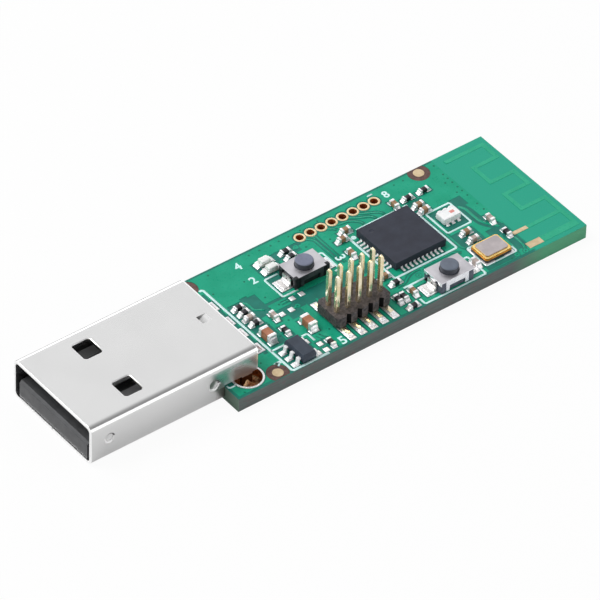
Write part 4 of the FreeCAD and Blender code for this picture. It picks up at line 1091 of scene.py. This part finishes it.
# %% Crystal
dark_ceramic = finish("black alumina", "#35302F", "#282423", 0.4, (0.45, 0.55), 0.06, 0.003)
seal_gold = finish("gold plated seal ring", "#FBDC94", "#EFC876", 0.7, (0.2, 0.3), 0.1, 0.002, Metallic=1.0)
# The tray's upper wall is metallised for the braze: a browner gold under the bright ring.
brazed_gold = finish("brazed gold on ceramic", "#D89A46", "#B87A30", 0.5, (0.28, 0.4), 0.08, 0.002, Metallic=0.9)
# Rolled kovar with nickel: a dull grey-pink sheet, its grain drawn out along the rolling direction.
kovar_lid = finish("kovar lid, nickel plated", "#BDB5B6", "#ADA5A7", 0.9, (0.4, 0.5), 0.05, 0.002, Metallic=0.6)
for node, width, material, slot in (("crystal_base", 0.04, dark_ceramic, "dark_ceramic"),
                                    ("crystal_seal_ring", 0.05, seal_gold, "gold_plate"),
                                    ("crystal_lid", 0.04, kovar_lid, "kovar_lid")):
    layer = merged_copy(node, node + "_piece")
    if node == "crystal_base":
        low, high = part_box(node)
        metal_start = low.z + 0.76 * (high.z - low.z)
        pick(layer)
        bpy.ops.object.mode_set(mode="EDIT")
        bpy.ops.mesh.select_all(action="SELECT")
        bpy.ops.mesh.bisect(plane_co=(0, 0, metal_start), plane_no=(0, 0, 1), threshold=snap)
        bpy.ops.object.mode_set(mode="OBJECT")
        layer.data.materials.append(material)
        layer.data.materials.append(brazed_gold)
        for face in layer.data.polygons:
            face.material_index = 1 if face.center.z > metal_start else 0
    round_edges(layer, width, segments=3, angle=30.0)
    settle(layer, [material], [node])

# %% [markdown]
# ## Push switches
#
# Each switch is a black moulded base under a folded steel cover, with a round plunger through the cover and
# a solder terminal at each end. The plunger moves, so it rides on its own body; all the rest stays with
# the stick.

# %% Switch finishes
# Nylon with glass, black and slightly rough. The edge switch's is a greyer grade.
switch_plastic = finish("glass filled nylon", "#1F2026", "#15161A", 0.5, (0.42, 0.55), 0.09, 0.003,
                        Specular_IOR_Level=0.35)
grey_plastic = finish("glass filled nylon, grey", "#565D6B", "#454B57", 0.5, (0.38, 0.5), 0.09, 0.003,
                      Specular_IOR_Level=0.35)
# Stainless sheet with a soft satin. The middle cover's sides are painted dark as painted shade, and the edge cover's
# sides white-blue as a painted reflection.
switch_steel = finish("stainless steel sheet, satin", "#CAC8CD", "#BAB8BD", 1.1, (0.3, 0.4), 0.06, 0.0015,
                      Metallic=0.9)
painted_shade_steel = finish("stainless steel sheet, painted shade on the side", "#5C5B62", "#414046", 0.6, (0.38, 0.5), 0.08, 0.002,
                    Metallic=0.5)
painted_reflection_steel = finish("stainless steel sheet, painted reflection on the side", "#FBFCFF", "#E9EBF3", 0.6, (0.25, 0.35), 0.08, 0.001,
                      Metallic=0.8)
# Moulded acetal: smooth grey tops, and the sides painted darker as painted shade.
middle_cap = finish("acetal plunger, top", "#7C8197", "#70758A", 0.6, (0.36, 0.46), 0.06, 0.0015,
                    Specular_IOR_Level=0.4)
edge_cap = finish("acetal plunger, darker top", "#67707F", "#5D6573", 0.6, (0.36, 0.46), 0.06, 0.0015,
                  Specular_IOR_Level=0.4)
plunger_painted_shade = finish("acetal plunger, painted shade on the side", "#42464F", "#34373F", 0.6, (0.3, 0.42), 0.06, 0.0015,
                      Specular_IOR_Level=0.4)
dome_steel = finish("spring steel dome", "#B9B7B4", "#A5A3A0", 0.5, (0.2, 0.3), 0.05, 0.001, Metallic=1.0)
terminal_silver = finish("silver plated brass", "#E9E6E4", "#C9C6C6", 0.5, (0.25, 0.38), 0.08, 0.003, Metallic=0.85)

# %% Switches
switch_parts = [
    ("middle", "base", 0.04, switch_plastic, switch_plastic, "switch_plastic", "stick"),
    ("middle", "cover", 0.03, switch_steel, painted_shade_steel, "switch_steel", "stick"),
    ("middle", "plunger", 0.08, middle_cap, plunger_painted_shade, "plunger_plastic", "middle_button"),
    ("edge", "base", 0.04, grey_plastic, grey_plastic, "switch_plastic", "stick"),
    ("edge", "cover", 0.03, switch_steel, painted_reflection_steel, "switch_steel", "stick"),
    ("edge", "plunger", 0.08, edge_cap, plunger_painted_shade, "plunger_plastic", "edge_button"),
]
for name, part, width, top, side, slot, body in switch_parts:
    node = f"{name}_switch_{part}"
    piece = merged_copy(node, node + "_piece")
    piece.data.materials.append(top)
    piece.data.materials.append(side)
    # Faces that look sideways take the second finish: painted shade on the middle cover and the plungers, a painted
    # reflection on the edge cover.
    for face in piece.data.polygons:
        face.material_index = 1 if abs(face.normal.z) < 0.5 else 0
    round_edges(piece, width, segments=2, angle=40.0)
    settle(piece, [], [node], body)

# %% Snap domes
# The dome is the switch's spring, which the plunger's nub presses nearly flat.
for name in ("middle", "edge"):
    node = name + "_switch_dome"
    dome = merged_copy(node, node + "_piece")
    round_edges(dome, 0.02, segments=2, angle=40.0)
    settle(dome, [dome_steel], [node])
    low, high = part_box(node)
    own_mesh(dome)

# %% [markdown]
# At the middle switch's near corners the base comes up through the cover as two posts. A post is a rounded
# block, a little proud of the cover on the outside and on top.

# %% Corner posts
cover_low, cover_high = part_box("middle_switch_cover")
post = start_block("post", (-0.21 * mm, -0.21 * mm, board_top + 0.2 * mm), (0.21 * mm, 0.21 * mm, cover_high.z))
round_edges(post, 0.06, segments=3, angle=40.0)
post.data.transform(Matrix.Translation((0, 0, 0.03 * mm)))
post_y = cover_low.y + 0.17 * mm
posts = stamp(post, "middle_switch_posts", [(Vector((cover_low.x + 0.17 * mm, post_y, 0)), 0.0),
                                            (Vector((cover_high.x - 0.17 * mm, post_y, 0)), 0.0)])
discard(post)
settle(posts, [switch_plastic])

# %% [markdown]
# The terminals leave the base, drop down its side and lie flat on their pads. Each riser has a small round
# hole from the stamping tool, and solder wets the foot and climbs a little way up the riser.

# %% Switch terminals and their solder
for name in ("middle", "edge"):
    for side, sign in (("left", -1), ("right", 1)):
        node = f"{name}_switch_{side}_terminal"
        low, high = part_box(node)
        strip = merged_copy(node, node + "_piece")
        riser_x = (low.x + 0.87 * mm) if sign < 0 else (high.x - 0.87 * mm)
        drill = turned("drill", [(0.13, -1.0), (0.13, 1.0)], 20)
        place = Matrix.Translation((riser_x, (low.y + high.y) / 2, low.z + 0.52 * mm))
        drill.data.transform(place @ Matrix.Rotation(math.pi / 2, 4, "Y") @ Matrix.Scale(0.3, 4, (0, 0, 1)))
        apply_modifier(strip, "BOOLEAN", operation="DIFFERENCE", object=drill, solver="EXACT")
        discard(drill)
        round_edges(strip, 0.02, segments=2, angle=50.0)
        settle(strip, [terminal_silver], [node])
        foot = fillet(0.34, -0.02, 0.6, 0.34)
        round_edges(foot, 0.04, segments=2, angle=35.0, smooth=80.0)
        joint_x = riser_x + sign * 0.06 * mm
        place = Matrix.Translation((joint_x, (low.y + high.y) / 2, low.z + 0.08 * mm))
        foot.data.transform(place @ Matrix.Rotation(0 if sign > 0 else math.pi, 4, "Z"))
        foot.name = f"{name}_switch_{side}_solder"
        settle(foot, [solder_tin])

# %% [markdown]
# ## Pin header
#
# The header is one notched black moulding with ten square pins. Their gold is thin and shows the drawing
# marks of the wire along the pin. Under the plastic each pin bends outward to a flat tail in solder.

# %% Header
header_plastic = finish("glass filled polyester", "#5E5758", "#363234", 0.25, (0.4, 0.6), 0.12, 0.012,
                        Specular_IOR_Level=0.3)
notch_plastic = finish("glass filled polyester, in the notch", "#0C0B0C", "#070707", 0.25, (0.6, 0.7), 0.12, 0.004,
                       Specular_IOR_Level=0.1)
pin_gold = finish("gold flash on drawn brass wire", "#FFF5DA", "#EFDCAE", 0.7, (0.13, 0.2), 0.1, 0.0004, Metallic=0.95)
# The notches between the cells are narrow and take no light, so their walls get the darker finish.
moulding = merged_copy("header_body", "header_moulding")
moulding.data.materials.append(header_plastic)
moulding.data.materials.append(notch_plastic)
body_low, body_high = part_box("header_body")
for face in moulding.data.polygons:
    between = body_low.x + 0.6 * mm < face.center.x < body_high.x - 0.6 * mm
    face.material_index = 1 if between and abs(face.normal.x) > 0.3 else 0
round_edges(moulding, 0.05, segments=2, angle=40.0)
settle(moulding, [], ["header_body"])
# The pins' points are a little shorter than in the CAD, so that their ends are blunt.
for row in ("near", "far"):
    node = "header_pins_" + row
    pins = merged_copy(node, node + "_piece")
    point_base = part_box(node)[1].z - 0.5 * mm
    pick(pins)
    bpy.ops.object.mode_set(mode="EDIT")
    choose(pins, "verts", lambda vert: abs(vert.co.z - point_base) < 0.02 * mm)
    bpy.ops.transform.translate(value=(0, 0, 0.24 * mm))
    bpy.ops.object.mode_set(mode="OBJECT")
    round_edges(pins, 0.035, segments=2, angle=35.0)
    settle(pins, [pin_gold], [node])

# %% Solder round the header's tails
# The solder rises along both sides of a tail and covers its end in a low pillow.
pillow = start_block("pillow", (-0.3 * mm, -0.42 * mm, -0.02 * mm), (0.3 * mm, 0.42 * mm, 0.17 * mm))
round_edges(pillow, 0.1, segments=3, angle=40.0, smooth=80.0)
tails = []
for row, sign in (("near", -1), ("far", 1)):
    for low, high in solid_boxes("header_pins_" + row):
        end = low.y - 0.02 * mm if sign < 0 else high.y - 0.22 * mm
        tails.append((Vector(((low.x + high.x) / 2, end, low.z)), 0.0))
pillows = stamp(pillow, "header_solder", tails)
discard(pillow)
settle(pillows, [solder_tin])

# %% [markdown]
# ## Regulator
#
# The voltage regulator is a small moulded body on five gull-wing leads. The moulding tapers away from the
# lead frame so that it leaves its tool, and the leads are tinned and sit in solder.

# %% Regulator
regulator_epoxy = finish("regulator mould compound", "#39424F", "#313946", 0.8, (0.42, 0.55), 0.06, 0.0025,
                         Specular_IOR_Level=0.3)
body_piece = merged_copy("regulator_body", "regulator_moulding")
round_edges(body_piece, 0.04, segments=2, angle=10.0)
settle(body_piece, [regulator_epoxy], ["regulator_body"])
leads = merged_copy("regulator_leads", "regulator_lead_set")
round_edges(leads, 0.03, segments=2, angle=25.0)
settle(leads, [terminal_tin], ["regulator_leads"])
low_all, high_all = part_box("regulator_leads")
centre_x = (low_all.x + high_all.x) / 2
feet = []
mound = start_block("mound", (-0.26 * mm, -0.26 * mm, -0.02 * mm), (0.3 * mm, 0.26 * mm, 0.12 * mm))
round_edges(mound, 0.08, segments=3, angle=40.0, smooth=80.0)
for low, high in solid_boxes("regulator_leads"):
    middle = (low + high) / 2
    left = middle.x < centre_x
    end = low.x + 0.2 * mm if left else high.x - 0.2 * mm
    feet.append((Vector((end, middle.y, low.z)), math.pi if left else 0.0))
lead_solder = stamp(mound, "regulator_solder", feet)
discard(mound)
settle(lead_solder, [solder_tin])

# %% Solder on the plug's tails
ramp = fillet(0.35, -1.3, 0.46, 0.42)
round_edges(ramp, 0.05, segments=2, angle=35.0, smooth=80.0)
ends = []
for contact in ("ground", "data_plus", "data_minus", "power"):
    low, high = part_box("usb_contact_" + contact)
    ends.append((Vector((high.x, (low.y + high.y) / 2, low.z)), 0.0))
tail_solder = stamp(ramp, "contact_solder", ends)
discard(ramp)
tail_tin = finish("tin solder on nickel tails", "#DCD2D4", "#BDB3B6", 0.35, (0.24, 0.38), 0.12, 0.008, Metallic=0.65)
settle(tail_solder, [tail_tin])

# %% [markdown]
# ## Indicator lamps
#
# A chip lamp is a white substrate with metal ends and a clear resin lens cast over the die. Unlit, the lens
# looks milky with a hint of green.

# %% Lamps
lamp_substrate = finish("white lamp substrate", "#F0EFEA", "#DFDDD6", 0.4, (0.45, 0.6), 0.08, 0.003)
lamp_resin = finish("clear lamp resin", "#FFFFFF", "#EDF5EE", 0.5, (0.18, 0.28), 0.15, 0.002, Coat_Weight=0.3)
lamp_model = chip_part("lamp", (1.6, 0.8, 0.22), 0.26, 0.01, lamp_substrate, cap_tin, 1.06, 0.02)
for name in ("upper", "lower"):
    base = stamp(lamp_model, name + "_lamp_substrate", chip_places(name + "_lamp_base"))
    settle(base, [], [name + "_lamp_base"])
    lens = merged_copy(name + "_lamp_lens", name + "_lamp_lens_piece")
    round_edges(lens, 0.09, segments=4, angle=30.0)
    settle(lens, [lamp_resin], [name + "_lamp_lens"])
discard(lamp_model)

# %% [markdown]
# ## Aerial filter
#
# The filter is a block of white fired ceramic with six silver clips and a printed mark at one corner that
# shows which way round it goes.

# %% Filter
filter_ceramic = finish("white fired ceramic", "#FFFFFF", "#F0F3F5", 0.5, (0.4, 0.55), 0.07, 0.003)
mark_ink = finish("pink marking ink", "#E79A93", "#DD8780", 0.3, (0.5, 0.6), 0.08, 0.003)
low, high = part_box("filter_body")
block_piece = merged_copy("filter_body", "filter_ceramic_block")
round_edges(block_piece, 0.05, segments=3, angle=40.0)
settle(block_piece, [filter_ceramic], ["filter_body"])
clips = merged_copy("filter_terminals", "filter_clips")
round_edges(clips, 0.012, segments=2, angle=50.0)
settle(clips, [terminal_tin], ["filter_terminals"])
mark = start_block("filter_mark", spot(46.72, 0.24, high.z - 0.01 * mm), spot(47.22, 0.6, high.z + 0.012 * mm))
round_edges(mark, 0.01, segments=2, angle=50.0)
settle(mark, [mark_ink])

# %% [markdown]
# ## Floor, light and camera
#
# The photograph has a pure white ground. The floor is a pale sheet that still takes the object's shadow: for
# the camera it adds much white light of its own, and for reflections a little, so that metal shows the
# shadow as well. The world is white to those rays too, except for one dark card high over the right side
# that only reflections see: it draws the dark line along the plug's bends. The world lights the rest softly.

# %% Floor and world
bpy.ops.object.select_all(action="DESELECT")
bpy.ops.mesh.primitive_plane_add(size=0.8, location=(0, 0, -0.00002))
floor = bpy.context.view_layer.objects.active
floor.name = "floor"
paper = bpy.data.materials.new("white paper")
paper.use_nodes = True
tree = paper.node_tree
shader = tree.nodes["Principled BSDF"]
shader.inputs["Base Color"].default_value = colour("#EEEEEE")
shader.inputs["Roughness"].default_value = 0.9
path = add_node(tree, "ShaderNodeLightPath")
mirrored = add_node(tree, "ShaderNodeMath", {0: path.outputs["Is Glossy Ray"], 1: path.outputs["Is Transmission Ray"]},
                    operation="MAXIMUM")
mirrored = add_node(tree, "ShaderNodeMath", {0: mirrored.outputs[0], 1: 0.3}, operation="MULTIPLY")
seen = add_node(tree, "ShaderNodeMath", {0: path.outputs["Is Camera Ray"], 1: 0.94}, operation="MULTIPLY")
share = add_node(tree, "ShaderNodeMath", {0: seen.outputs[0], 1: mirrored.outputs[0]}, operation="MAXIMUM")
glow = add_node(tree, "ShaderNodeEmission", {"Color": colour("#FFFFFF"), "Strength": 1.0})
mixed = add_node(tree, "ShaderNodeMixShader", {0: share.outputs[0], 1: shader.outputs[0], 2: glow.outputs[0]})
tree.links.new(mixed.outputs[0], tree.nodes["Material Output"].inputs["Surface"])
floor.data.materials.append(paper)

world = bpy.data.worlds.new("studio")
bpy.context.scene.world = world
world.use_nodes = True
tree = world.node_tree
soft = tree.nodes["Background"]
soft.inputs["Color"].default_value = colour("#FFFFFF")
soft.inputs["Strength"].default_value = 0.42
bright = add_node(tree, "ShaderNodeBackground", {"Color": colour("#FFFFFF"), "Strength": 1.0})
path = add_node(tree, "ShaderNodeLightPath")
sky = add_node(tree, "ShaderNodeTexCoord").outputs["Generated"]
card = Vector((0.468, -0.685, 0.558)).normalized()
toward_card = add_node(tree, "ShaderNodeVectorMath", {0: sky, 1: card}, operation="DOT_PRODUCT").outputs["Value"]
shade = add_node(tree, "ShaderNodeMapRange", {"Value": toward_card, "From Min": 0.25, "From Max": 1.0, "To Min": 1.0,
                                              "To Max": 0.25})
room = add_node(tree, "ShaderNodeBackground", {"Color": colour("#FFFFFF"), "Strength": shade.outputs["Result"]})
lit = add_node(tree, "ShaderNodeMixShader", {0: path.outputs["Is Glossy Ray"], 1: soft.outputs[0], 2: room.outputs[0]})
seen = add_node(tree, "ShaderNodeMath", {0: path.outputs["Is Camera Ray"], 1: path.outputs["Is Transmission Ray"]},
                operation="MAXIMUM")
mixed = add_node(tree, "ShaderNodeMixShader", {0: seen.outputs[0], 1: lit.outputs[0], 2: bright.outputs[0]})
tree.links.new(mixed.outputs[0], tree.nodes["World Output"].inputs["Surface"])
print("floor and world ready")

# %% [markdown]
# One broad soft light stands behind the stick on the left, as a softbox does on a product table, so that the
# tops are light and the sides that face the camera are darker. A weaker one, low in front, draws the white
# line along the plug's near bend, and a small one behind does the same for the far bend.

# %% Lights
centre = Vector((-0.0003, 0.0, 0.0021))
studio = (("key", (-0.45, 0.45, 0.85), 0.3, 1.6), ("front", (0.47, -0.82, 0.34), 0.34, 0.55),
          ("back", (0.45, 0.82, 0.27), 0.22, 0.25))
for name, direction, size, power in studio:
    data = bpy.data.lights.new(name, "AREA")
    data.size = size
    data.energy = power
    lamp = bpy.data.objects.new(name, data)
    bpy.context.scene.collection.objects.link(lamp)
    lamp.location = centre + Vector(direction).normalized() * 0.5
    lamp.rotation_euler = Vector(direction).to_track_quat("Z", "Y").to_euler()
print(len(studio), "lights")

# %% [markdown]
# The camera stands where the photograph was taken: left of the plug's front and above, far off with a long
# lens, and rolled by a small angle.

# %% Camera
azimuth, elevation, roll = math.radians(-38.771), math.radians(41.7), math.radians(1.768)
distance = 0.622903
slide_right, slide_up = -0.424 * mm, 0.56 * mm
backward = Vector((math.sin(azimuth) * math.cos(elevation), -math.cos(azimuth) * math.cos(elevation),
                   math.sin(elevation)))
right = (-backward).cross(Vector((0, 0, 1))).normalized()
upward = right.cross(-backward)
rolled_right = right * math.cos(roll) + upward * math.sin(roll)
rolled_up = -right * math.sin(roll) + upward * math.cos(roll)
camera_data = bpy.data.cameras.new("camera")
camera_data.lens = 401.06
camera_data.sensor_width = 36.0
camera_data.clip_start = 0.01
camera = bpy.data.objects.new("camera", camera_data)
bpy.context.scene.collection.objects.link(camera)
turn = Matrix((rolled_right, rolled_up, backward)).transposed().to_4x4()
eye = centre + backward * distance - rolled_right * slide_right - rolled_up * slide_up
camera.matrix_world = Matrix.Translation(eye) @ turn
bpy.context.scene.camera = camera
bpy.context.scene.view_settings.view_transform = "Standard"
print("camera at", [round(value, 4) for value in eye])

# %% [markdown]
# Last, the view layer is updated.

# %% Last update
bpy.context.view_layer.update()
